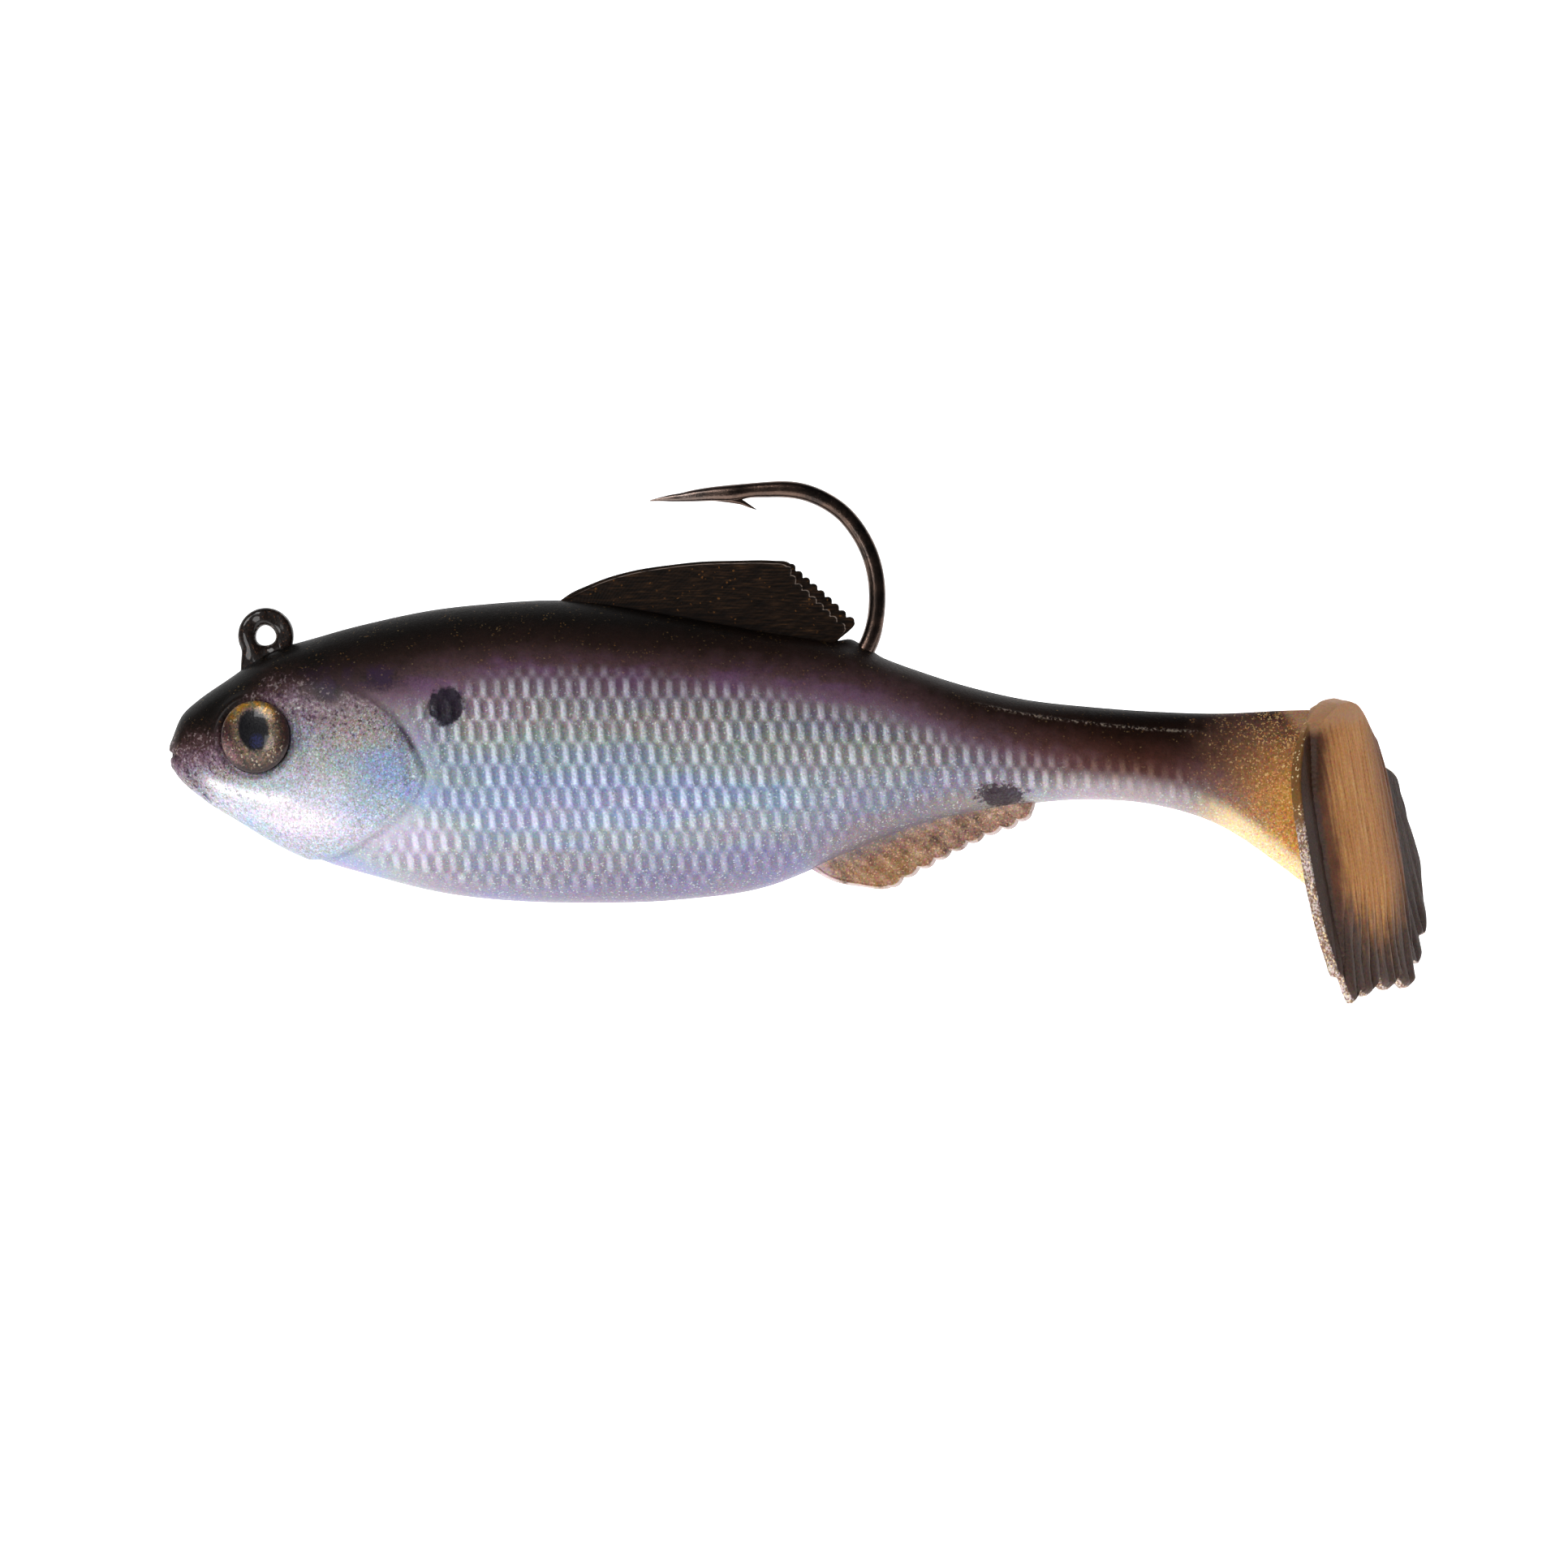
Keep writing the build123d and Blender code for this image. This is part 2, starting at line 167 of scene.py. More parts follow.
def tube(rings, looped=False):
    """Points and faces of a closed skin over rings of points, shaped [ring, point, xyz].

    The last ring joins the first where it is looped, and otherwise each end is closed by a fan.
    """
    rings = np.asarray(rings, float)
    number, count = rings.shape[:2]
    points = rings.reshape(-1, 3)
    ring, step = np.meshgrid(np.arange(number if looped else number - 1), np.arange(count), indexing="ij")
    near, far, after = ring * count, (ring + 1) % number * count, (step + 1) % count
    quads = np.stack([near + step, near + after, far + after, far + step], axis=-1).reshape(-1, 4)
    corner = [points[quads[:, index]] - points.mean(axis=0) for index in range(4)]
    volume = np.sum(corner[0] * np.cross(corner[1] - corner[0], corner[2] - corner[0]))
    volume += np.sum(corner[0] * np.cross(corner[2] - corner[0], corner[3] - corner[0]))
    faces = quads.tolist()
    if not looped:
        first, last, start = number * count, number * count + 1, (number - 1) * count
        points = np.concatenate([points, [rings[0].mean(axis=0), rings[-1].mean(axis=0)]])
        faces += [[first, (step + 1) % count, step] for step in range(count)]
        faces += [[last, start + step, start + (step + 1) % count] for step in range(count)]
    if volume < 0:
        faces = [face[::-1] for face in faces]
    return points, faces


def at_points(values):
    """A grid of values, one for each ring and point, as a row for each of a tube's points and ends."""
    rows = values.reshape(-1, *values.shape[2:])
    return np.concatenate([rows, rows[:1], rows[-1:]])


# ---- materials ----------------------------------------------------------------------------------
class Value:
    """A shader socket that takes part in arithmetic: each operator adds the Math node for it."""

    def __init__(self, nodes, socket):
        self.nodes = nodes
        self.socket = socket

    def math(self, operation, *values):
        return self.nodes.node("ShaderNodeMath", {"operation": operation}, dict(enumerate(values)))

    def __add__(self, other):
        return self.math("ADD", self, other)

    def __sub__(self, other):
        return self.math("SUBTRACT", self, other)

    def __rsub__(self, other):
        return self.math("SUBTRACT", other, self)

    def __mul__(self, other):
        return self.math("MULTIPLY", self, other)

    def __truediv__(self, other):
        return self.math("DIVIDE", self, other)

    def __pow__(self, other):
        return self.math("POWER", self, other)

    def __abs__(self):
        return self.math("ABSOLUTE", self)

    __radd__ = __add__
    __rmul__ = __mul__

    def wave(self):
        """A soft wave of the value: 1 at whole numbers and 0 halfway between."""
        return self.math("COSINE", self * (2 * math.pi)) * 0.5 + 0.5

    def between(self, low, high):
        """0 below low and 1 above high, with a soft rise between. It falls where low is the higher."""
        inputs = {"Value": self, "From Min": low, "From Max": high}
        return self.nodes.node("ShaderNodeMapRange", {"interpolation_type": "SMOOTHSTEP"}, inputs)


class Nodes:
    """A node tree that nodes are added to."""

    def __init__(self, tree):
        self.tree = tree

    def node(self, kind, settings=None, inputs=None, output=0):
        """Adds a node: its settings first, then the values or links of its sockets."""
        made = self.tree.nodes.new(kind)
        for setting, value in (settings or {}).items():
            if setting == "stops":
                self.fill_ramp(made.color_ramp.elements, value)
            else:
                setattr(made, setting, value)
        for socket, value in (inputs or {}).items():
            self.feed(made.inputs[socket], value)
        return Value(self, made.outputs[output])

    def fill_ramp(self, elements, stops):
        """Gives a colour ramp its stops."""
        while len(elements) < len(stops):
            elements.new(1.0)
        for element, (place, colour) in zip(elements, stops):
            element.position = place
            element.color = (*colour, 1)

    def feed(self, socket, value):
        """Links a value to a socket, or sets the socket to a plain number or colour."""
        if isinstance(value, Value):
            self.tree.links.new(value.socket, socket)
        elif socket.type == "RGBA":
            socket.default_value = (*value, 1)
        else:
            socket.default_value = value


class Finish(Nodes):
    """One material under construction, on a Principled surface with constants set on its sockets."""

    def __init__(self, name, **constants):
        self.material = bpy.data.materials.new(name)
        self.material.use_nodes = True
        super().__init__(self.material.node_tree)
        self.surface = self.tree.nodes["Principled BSDF"]
        for socket, value in constants.items():
            self.set(socket, value)

    def set(self, socket, value):
        """Feeds one of the surface's own sockets, named with _ for its spaces."""
        self.feed(self.surface.inputs[socket.replace("_", " ")], value)

    def read(self, label):
        """A number that the mesh holds at each point."""
        return self.node("ShaderNodeAttribute", {"attribute_name": label}, output="Fac")

    def place(self, label="rest"):
        """A vector that the mesh holds at each point, by default where it lies at rest."""
        return self.node("ShaderNodeAttribute", {"attribute_name": label}, output="Vector")

    def frame_place(self):
        """Where a frame node's surface lies, in millimetres."""
        return self.dimmed(self.node("ShaderNodeTexCoord", output="Object"), 1 / MM)

    def split(self, vector):
        """The three numbers of a vector."""
        first = self.node("ShaderNodeSeparateXYZ", inputs={0: vector})
        return [Value(self, output) for output in first.socket.node.outputs]

    def stretched(self, vector, factors):
        """A vector times another, part by part."""
        return self.node("ShaderNodeVectorMath", {"operation": "MULTIPLY"}, {0: vector, 1: factors})

    def dimmed(self, colour, factor):
        """A colour times a number."""
        return self.node("ShaderNodeVectorMath", {"operation": "SCALE"}, {0: colour, "Scale": factor})

    def larger(self, first, second):
        """The larger of two values at each point."""
        return self.node("ShaderNodeMath", {"operation": "MAXIMUM"}, {0: first, 1: second})

    def mix(self, factor, first, second, blend="MIX"):
        """Two colours mixed by a factor."""
        settings = {"data_type": "RGBA", "blend_type": blend}
        return self.node("ShaderNodeMix", settings, {0: factor, 6: first, 7: second}, output=2)

    def noise(self, vector, scale, detail=2.0):
        """Soft noise about 0.5."""
        inputs = {"Vector": vector, "Scale": scale, "Detail": detail}
        return self.node("ShaderNodeTexNoise", inputs=inputs)

    def cells(self, vector, scale, flat=False):
        """Random cells, each with a colour of its own. Flat ones are the squares of a lattice."""
        inputs = {"Vector": vector, "Scale": scale, "Randomness": 0.0 if flat else 1.0}
        settings = {"voronoi_dimensions": "2D" if flat else "3D"}
        return self.node("ShaderNodeTexVoronoi", settings, inputs, "Color")

    def ramp(self, value, low, high, stops):
        """A colour for each value from low to high, through the stops (value, colour)."""
        share = self.node("ShaderNodeMapRange", inputs={"Value": value, "From Min": low, "From Max": high})
        shares = sorted(((stop - low) / (high - low), colour) for stop, colour in stops)
        return self.node("ShaderNodeValToRGB", {"stops": shares}, {0: share})

    def bump(self, height, distance):
        """Fine relief on the surface: distance is how deep a height of 1 is, in millimetres."""
        inputs = {"Height": height, "Distance": distance * MM, "Strength": 1.0}
        self.set("Normal", self.node("ShaderNodeBump", inputs=inputs))


def tint(red, green, blue):
    """A colour from its usual 0 to 255 parts, in linear light."""
    parts = (part / 255 for part in (red, green, blue))
    return tuple(part / 12.92 if part <= 0.04045 else ((part + 0.055) / 1.055) ** 2.4 for part in parts)


# ---- camera, floor and light --------------------------------------------------------------------
CAMERA_LENS = 135.0
SENSOR = 36.0
VIEW_WIDTH = 127.4  # what the view takes in at the bait, in millimetres
AIM_OFF = (1.5, 3.4)  # how far ahead of and below the bait's middle the camera looks
FLOOR_BELOW = 150.0  # floor under the bait's middle
BACKDROP_BEHIND = 420.0
BACKDROP_BEND = 160.0
FLOOR_SIDE = 2600.0
FLOOR_AHEAD = 420.0


def set_camera():
    """Square on to the bait's left side, from far enough to flatten the perspective."""
    low, high = (np.array(corner) / MM for corner in cad_box)
    middle = (low + high) / 2
    aim = np.array([middle[0] - AIM_OFF[0], 0, middle[2] - AIM_OFF[1]])
    distance = CAMERA_LENS / SENSOR * VIEW_WIDTH
    data = bpy.data.cameras.new("view")
    data.lens, data.sensor_width = CAMERA_LENS, SENSOR
    data.clip_start, data.clip_end = 0.01, 20.0
    camera = bpy.data.objects.new("view", data)
    camera.location = (aim + [0, -distance, 0]) * MM
    camera.rotation_euler = (math.pi / 2, 0, 0)
    bpy.context.scene.collection.objects.link(camera)
    bpy.context.scene.camera = camera
    return aim


def make_backdrop(aim):
    """A pale floor that sweeps up into a wall behind the bait."""
    floor_z = aim[2] - FLOOR_BELOW
    turn = np.radians(np.arange(0, 91, 6))
    bend_y = BACKDROP_BEHIND + BACKDROP_BEND * np.sin(turn)
    bend_z = floor_z + BACKDROP_BEND * (1 - np.cos(turn))
    profile = [(-FLOOR_AHEAD, floor_z), *zip(bend_y, bend_z), (bend_y[-1], floor_z + FLOOR_SIDE)]
    points = [(side * FLOOR_SIDE, y, z) for y, z in profile for side in (LEFT, RIGHT)]
    faces = [[row * 2, row * 2 + 1, row * 2 + 3, row * 2 + 2] for row in range(len(profile) - 1)]
    paper = Finish("studio_paper", Base_Color=(0.8, 0.8, 0.8), Emission_Color=(1, 1, 1),
                   Emission_Strength=1.0)
    grain = paper.noise(paper.place(), 0.02, 3.0)
    paper.set("Roughness", grain * 0.1 + 0.85)
    dress("studio_floor", points, faces, paper)


def add_light(name, place, aim, size, power, shine=1.0):
    """A soft square lamp that points at the bait, placed in millimetres from where the camera looks.
    Its shine is how strongly it shows in glossy surfaces."""
    data = bpy.data.lights.new(name, "AREA")
    data.shape, data.size, data.energy, data.specular_factor = "SQUARE", size * MM, power, shine
    lamp = bpy.data.objects.new(name, data)
    lamp.location = (aim + place) * MM
    lamp.rotation_euler = Vector(place).to_track_quat("Z", "Y").to_euler()
    bpy.context.scene.collection.objects.link(lamp)


def light_studio(aim):
    """A broad key lamp by the camera, a low fill, a rim lamp behind, and a surround that sheds a dim
    light but looks white."""
    add_light("key_lamp", (-260, -520, 330), aim, 260, 1.7)
    add_light("low_lamp", (-190, -430, -40), aim, 110, 0.22, shine=0.0)
    add_light("back_lamp", (260, 380, 420), aim, 200, 0.4)
    world = bpy.data.worlds.new("studio")
    world.use_nodes = True
    world.node_tree.nodes.remove(world.node_tree.nodes["Background"])
    surround = Nodes(world.node_tree)
    dim = surround.node("ShaderNodeBackground", inputs={"Color": (0.86, 0.9, 1.0), "Strength": 0.06})
    white = surround.node("ShaderNodeBackground", inputs={"Color": (1, 1, 1), "Strength": 1.0})
    seen = surround.node("ShaderNodeLightPath", output="Is Camera Ray")
    either = surround.node("ShaderNodeMixShader", inputs={0: seen, 1: dim, 2: white})
    surround.feed(world.node_tree.nodes["World Output"].inputs["Surface"], either)
    bpy.context.scene.world = world
    bpy.context.scene.view_settings.view_transform = "Standard"


# ---- the soft body's form -----------------------------------------------------------------------
LIP = 0.15  # nose ahead of the trunk casting's front

trunk_low, trunk_high = node_box("trunk_casting")
paddle_hinge = hinge_point("paddle_kick")
nose_x = trunk_low[0] - LIP
body_length = paddle_hinge[0] - nose_x
body_depth = trunk_high[2] - trunk_low[2]
body_half = (trunk_high[1] - trunk_low[1]) / 2

# Percent of the length behind the nose; then the back's and the belly's height in percent of the
# body's depth above its lowest point, and the half width in percent of the widest.
BODY_FORM = np.array([
    (0, 50.2, 50.2, 0),
    (0.05, 52.1, 45.5, 14),
    (0.3, 54.8, 43.5, 23),
    (1.1, 62.1, 39.4, 37),
    (2.4, 67, 35.1, 48),
    (5.2, 74.3, 28.5, 63),
    (9.3, 83.1, 19.1, 78),
    (16.2, 92.1, 9.9, 92),
    (25.9, 98.6, 1.8, 99),
    (35.5, 99.8, 0, 100),
    (43.7, 94.9, 1.2, 97),
    (50.6, 90, 5.3, 90),
    (57.9, 84.7, 17, 77),
    (62.6, 77.9, 24.4, 66),
    (67.5, 71.7, 29.5, 58),
    (72.5, 67.2, 32.8, 49),
    (78.3, 64.6, 34.4, 39),
    (83.6, 63.1, 32.6, 33),
    (89.1, 62.5, 25.8, 28),
    (94.7, 63.5, 11.1, 23),
    (100, 64, -5.7, 20),
])


def body_form(x):
    """Back height, belly height and half width at x. Read by the share's root, the nose comes out round."""
    root = np.sqrt(np.clip((np.asarray(x, float) - nose_x) / body_length, 0, 1))
    stops = np.sqrt(BODY_FORM[:, 0] / 100)
    back, belly, half = (through(stops, BODY_FORM[:, column] / 100, root) for column in (1, 2, 3))
    return trunk_low[2] + back * body_depth, trunk_low[2] + belly * body_depth, half * body_half


# Side-view lines of the head, as (x, z) from the line tie's hole.
MOUTH_LINE = traced([(-8.0, -9.6), (-7.15, -9.95), (-5.8, -11.7), (-4.4, -13.4)])
GILL_EDGE = traced([(-1.0, -1.0), (2.0, -3.0), (4.6, -3.9), (7.0, -4.5), (10.3, -6.4), (12.4, -9.5),
                    (13.0, -11.3), (12.2, -13.1), (9.4, -15.7), (7.7, -16.9), (4.3, -18.1), (0.5, -17.8),
                    (-3.0, -18.5)])
GILL_FOLD = traced([(9.2, -5.6), (11.6, -8.6), (12.0, -11.9), (11.9, -13.0), (10.1, -14.7), (8.4, -16.2)])
CHEEK_GROOVE = traced([(2.9, -6.0), (3.4, -8.6), (3.5, -11.0), (3.0, -12.6)])
JAW_FOLD = traced([(-4.4, -13.4), (-1.5, -14.0), (1.6, -15.2), (4.2, -15.0), (6.5, -14.6)])
# Painted light on the head: painted shade along the gill's edge and along the top of the cheek, and a painted
# highlight along the jaw.
GILL_EDGE_SHADE = traced([(10.9, -7.1), (11.8, -8.3), (12.6, -9.8)])
CHEEK_EDGE_SHADE = traced([(6.2, -4.2), (9.0, -5.3), (11.0, -7.2)])
PAINTED_JAW_HIGHLIGHT = traced([(-5.4, -11.0), (-3.6, -12.2), (-0.4, -13.1), (3.5, -13.3)])
# Where dark back turns into silver side, where scales start under it, and their middle row.
BACK_LINE = [(-8, -10.4), (-5.8, -9.9), (-3.6, -9.5), (-1.8, -7.4), (0.4, -5.3), (2.4, -5.0), (5, -5.6),
             (9.3, -5.0), (15.3, -3.9), (19.2, -3.4), (31, -3.8), (44.3, -4.6), (50.9, -5.8), (57.5, -8.6),
             (64, -9.9), (70.6, -11.2), (76, -11.4), (82, -13.4)]
SCALE_TOP = [(11, -6.4), (17, -3.6), (25, -2.8), (38, -4.0), (50.9, -6.6), (61, -9.4), (70.6, -10.4),
             (78, -11.6)]
SCALE_ROW = [(-8, -11.4), (50, -11.4), (60, -11.5), (66, -11.8), (71, -12.3), (76, -13.2), (88, -18)]
SCALE_PITCH = 1.15
SCALE_ROW_GAP = 1.76
SCALE_LEAN = 0.1  # pitches that the scales lean forward by from one row to the next
SCALE_RELIEF = 0.1
SOCKET_DEPTH = 0.9  # of the eye's socket, under its rim
SEAM_DROP = 1.15  # the casting seam's place under the top of the stalk
HOOK_EXIT_AHEAD = 1.4  # where the hook leaves the back, ahead of its rearmost point

dome_low, dome_high = node_box("eye_dome_left")
eye_x, eye_z = (dome_low[0] + dome_high[0]) / 2, (dome_low[2] + dome_high[2]) / 2
eye_radius = (dome_high[2] - dome_low[2]) / 2
hook_exit = node_box("jig_hook")[1][0] - HOOK_EXIT_AHEAD


def at_line(stations, x):
    """Height of a side-view line at x."""
    xs, zs = zip(*stations)
    return through(xs, zs, np.clip(x, xs[0], xs[-1]))


def scale_lattice(x, z):
    """Two slanting counts, whole together at the middle of each scale, and the scales' presence."""
    row = (at_line(SCALE_ROW, x) - z) / SCALE_ROW_GAP
    pitch = x / SCALE_PITCH - SCALE_LEAN * row
    _, belly, _ = body_form(x)
    behind_gill, _ = offset_from(GILL_EDGE, x, z)
    under_back = smooth(at_line(SCALE_TOP, x) - z, -0.6, 1.4)
    over_belly = smooth(z - belly, 0.7, 1.9 - 0.9 * smooth(x, 56, 66))
    ahead_of_tail = 1 - smooth(x, 74, 79.5)
    behind_shoulder = smooth(behind_gill, 0.7, 2.2) * smooth(x, 6, 10)
    return pitch + row / 2, pitch - row / 2, under_back * over_belly * ahead_of_tail * behind_shoulder


def scale_swell(rising, falling):
    """Swell of a scale: 1 at its middle and 0 at the gaps to its neighbours."""
    return smooth(np.cos(2 * np.pi * rising) + np.cos(2 * np.pi * falling), -1.0, 2.0)


def head_relief(x, z):
    """Mouth, eye socket, cheek and gill cover, as the skin's rise in millimetres."""
    gill, gill_share = offset_from(GILL_EDGE, x, z)
    fold, fold_share = offset_from(GILL_FOLD, x, z)
    mouth, mouth_share = offset_from(MOUTH_LINE, x, z)
    cheek, cheek_share = offset_from(CHEEK_GROOVE, x, z)
    jaw, jaw_share = offset_from(JAW_FOLD, x, z)
    on_head = smooth(x, -1.0, 4.5)
    cover = smooth(gill, -6.5, -0.6) * (1 - smooth(gill, -0.2, 0.18)) * on_head * smooth(gill_share, 0.2, 0.3)
    rise = 0.27 * (0.4 + 0.6 * smooth(gill_share, 0.35, 0.6)) * cover
    rise -= 0.07 * hump(gill - 0.3, 0.3) * on_head * smooth(gill_share, 0.25, 0.4)
    rise -= 0.07 * hump(fold, 0.28) * smooth(fold_share, 0, 0.2) * (1 - smooth(fold_share, 0.8, 1))
    rise -= 0.1 * hump(cheek, 0.3) * smooth(cheek_share, 0, 0.3) * (1 - smooth(cheek_share, 0.7, 1))
    rise += 0.1 * hump(jaw, 0.9) * smooth(jaw_share, 0, 0.2) * (1 - smooth(jaw_share, 0.6, 1))
    rise -= (0.5 - 0.3 * mouth_share) * hump(mouth, 0.2) * (1 - smooth(mouth_share, 0.9, 1))
    rise -= 0.12 * smooth(-mouth, 0.05, 0.3) * (1 - smooth(x, -5.6, -4.2))
    away = np.hypot(x - eye_x, z - eye_z)
    rise += 0.14 * hump(away - eye_radius - 0.45, 0.4)
    rise -= 0.07 * hump(away - eye_radius - 0.1, 0.2)
    return rise - SOCKET_DEPTH * (1 - smooth(away, eye_radius - 0.25, eye_radius + 0.02))


def casting_seam(x, z, back):
    """Height over the casting seam that runs under the top of the stalk, and the seam's presence."""
    seam_z = back - SEAM_DROP - 0.25 * smooth(x, 60, 74)
    return z - seam_z, smooth(x, 57, 60) * (1 - smooth(x, 73, 77))


def body_relief(x, y, z):
    """Rise of the whole skin over its plain form, in millimetres."""
    rising, falling, scaly = scale_lattice(x, z)
    back, belly, _ = body_form(x)
    rise = SCALE_RELIEF * scaly * (scale_swell(rising, falling) - 0.35)
    rise += np.where(x < 16, head_relief(x, z), 0)
    rise += 0.07 * hump(y, 0.16) * smooth(x, 8, 14)
    over_seam, seamed = casting_seam(x, z, back)
    rise += 0.05 * hump(over_seam, 0.09) * seamed
    upper = z > (back + belly) / 2
    rise += 0.55 * hump(x - hook_exit + 1.6, 0.9) * hump(y, 0.9) * upper
    rise += 0.3 * hump(x - hook_exit + 0.2, 0.8) * hump(y, 1.2) * upper
    tie_mound = hump(x - 0.3, 2.6) * hump(y, 1.7) * upper
    return rise + 0.35 * tie_mound


GIRDLE = 248  # points round the body
SKIN_STEP = 0.235  # ring spacing along the body, in millimetres
NOSE_SHARE = 0.07  # part of the rings over which their spacing grows from the nose
DEEPER = 1.9  # how much deeper than wide the body is
FLANK_POWER = 0.92  # under 1, for sides that are fuller than an ellipse


def girdle_turns():
    """Turns round the body, from the back over the left side, evenly spaced on its skin."""
    fine = np.linspace(0, 2 * math.pi, 2001)
    speed = np.hypot(DEEPER * np.sin(fine), np.cos(fine))
    travelled = np.concatenate([[0], np.cumsum((speed[1:] + speed[:-1]) / 2)])
    return np.interp(np.linspace(0, travelled[-1], GIRDLE + 1)[:-1], travelled, fine)


def plain_skin(x, turns):
    """The body's plain form: one ring for each x. The sections are a little fuller high on the side."""
    back, belly, half = (part[:, None] for part in body_form(x))
    up = np.cos(turns)[None, :]
    out = np.sin(turns)[None, :]
    full = rounded_square(out, FLANK_POWER) * (1 + 0.05 * up * np.abs(out))
    high = (back + belly) / 2 + (back - belly) / 2 * up
    return np.stack([np.broadcast_to(x[:, None], high.shape), -half * full, high], axis=-1)


def outward(skin):
    """Unit normals of a grid of rings, pointing out."""
    along = np.gradient(skin, axis=0)
    around = (np.roll(skin, -1, axis=1) - np.roll(skin, 1, axis=1)) / 2
    normal = np.cross(around, along)
    length = np.linalg.norm(normal, axis=-1, keepdims=True)
    return normal / np.maximum(length, 1e-9)


def body_grid():
    """Rings of the whole body's skin with its relief, and which x each ring started from."""
    share = np.linspace(0, 1, int(body_length / SKIN_STEP))[1:]
    grown = share**2 / (share + NOSE_SHARE) * (1 + NOSE_SHARE)
    x = nose_x + body_length * grown
    skin = plain_skin(x, girdle_turns())
    normal = outward(skin)
    rise = body_relief(skin[..., 0], skin[..., 1], skin[..., 2])
    return x, skin + normal * rise[..., None]


# ---- the soft body's finish ---------------------------------------------------------------------
def body_marks(points):
    """What the body's material reads at each point: the dark back's depth, the scales, the marks, and the
    painted shade and painted highlight on the head.
    """
    x, _, z = points.T
    back, belly, _ = body_form(x)
    gill, _ = offset_from(GILL_EDGE, x, z)
    mouth_shade, _ = offset_from(MOUTH_LINE, x, z)
    away = np.hypot(x - eye_x, z - eye_z)
    under_eye_shade = hump(away - eye_radius - 0.35, 0.28) * smooth(eye_z - z, -2.2, 1.2)
    gill_edge_shade, gill_edge_shade_share = offset_from(GILL_EDGE_SHADE, x, z)
    gill_edge_shade = hump(gill_edge_shade, 0.24) * smooth(gill_edge_shade_share, 0.0, 0.2) * (1 - smooth(gill_edge_shade_share, 0.75, 1))
    # Painted highlight: a white streak along the jaw.
    glare, painted_glare_share = offset_from(PAINTED_JAW_HIGHLIGHT, x, z)
    glare = hump(glare, 0.42) * smooth(painted_glare_share, 0, 0.25) * (1 - smooth(painted_glare_share, 0.65, 1))
    cheek_edge_shade, _ = offset_from(CHEEK_EDGE_SHADE, x, z)
    fold, fold_share = offset_from(GILL_FOLD, x, z)
    gill_fold_shade = hump(fold, 0.2) * smooth(fold_share, 0.3, 0.5) * (1 - smooth(fold_share, 0.8, 1))
    # Painted shade in the creases and edges: under the eye's rim, at the gill cover's edge and fold, along
    # the top of the cheek, along the mouth and behind the gill's edge.
    lines = np.maximum.reduce([0.75 * under_eye_shade, gill_edge_shade, 0.3 * hump(cheek_edge_shade, 0.2), 0.26 * gill_fold_shade,
                               0.5 * hump(mouth_shade, 0.16), 0.4 * hump(gill - 0.25, 0.22) * smooth(x, 2, 6)])
    over_seam, seamed = casting_seam(x, z, back)
    cap = smooth(x + (z + 7.0) * 0.9, 82.6, 84.0) * smooth(z, -8.8, -7.6)
    return {
        "back_depth": z - at_line(BACK_LINE, x),
        "belly_gap": z - belly,
        "lattice": np.stack(scale_lattice(x, z), axis=1),
        "lines": lines,
        "glare": glare,
        "seam": hump(over_seam, 0.1) * seamed,
        "cap": cap,
        "head": 1 - smooth(np.where(x > 2, gill, -9), -0.6, 0.4) * smooth(x, 3, 6),
    }


def oval_mark(x, z, centre, radii, rough, blur=0.3):
    """An oval spot whose edge is broken up by rough noise and fades over blur, a share of its size."""
    across = (x - centre[0]) / radii[0]
    down = (z - centre[1]) / radii[1]
    reach = (across * across + down * down) ** 0.5
    return (reach + (rough - 0.5) * 0.9).between(1.0 + blur, 1.0 - blur)


class BodyPaint(Finish):
    """The soft body's material as it is built up, with the fields that its layers of colour share."""

    def __init__(self):
        super().__init__("shad_soft_plastic", IOR=1.45, Coat_Roughness=0.22, Specular_IOR_Level=0.09)
        self.rest = self.place()
        self.x, _, self.z = self.split(self.rest)
        self.gap = self.read("belly_gap")
        self.head, self.cap = self.read("head"), self.read("cap")
        self.blotch = self.noise(self.rest, 0.9, 3.0)
        self.speck = self.noise(self.rest, 4.5, 2.0)
        self.mottle = self.noise(self.rest, 2.2, 4.0)
        self.torn = (self.mottle + self.speck - 1.0) * 1.3 + 0.5
        self.grain = self.cells(self.rest, 8.5)
        depth = self.read("back_depth")
        steep = depth + self.larger(depth, 0.0) * self.head * 0.55
        ragged = steep + (self.blotch - 0.5) * (1.6 + self.head * 1.4)
        self.ragged = ragged + (self.speck - 0.5) * (1.2 + self.head * 3.6)
        self.silver = self.ragged.between(0.6, -3.0)
        self.gold_zone = (self.x + (self.blotch - 0.5) * 5.0).between(74.0, 83.0)


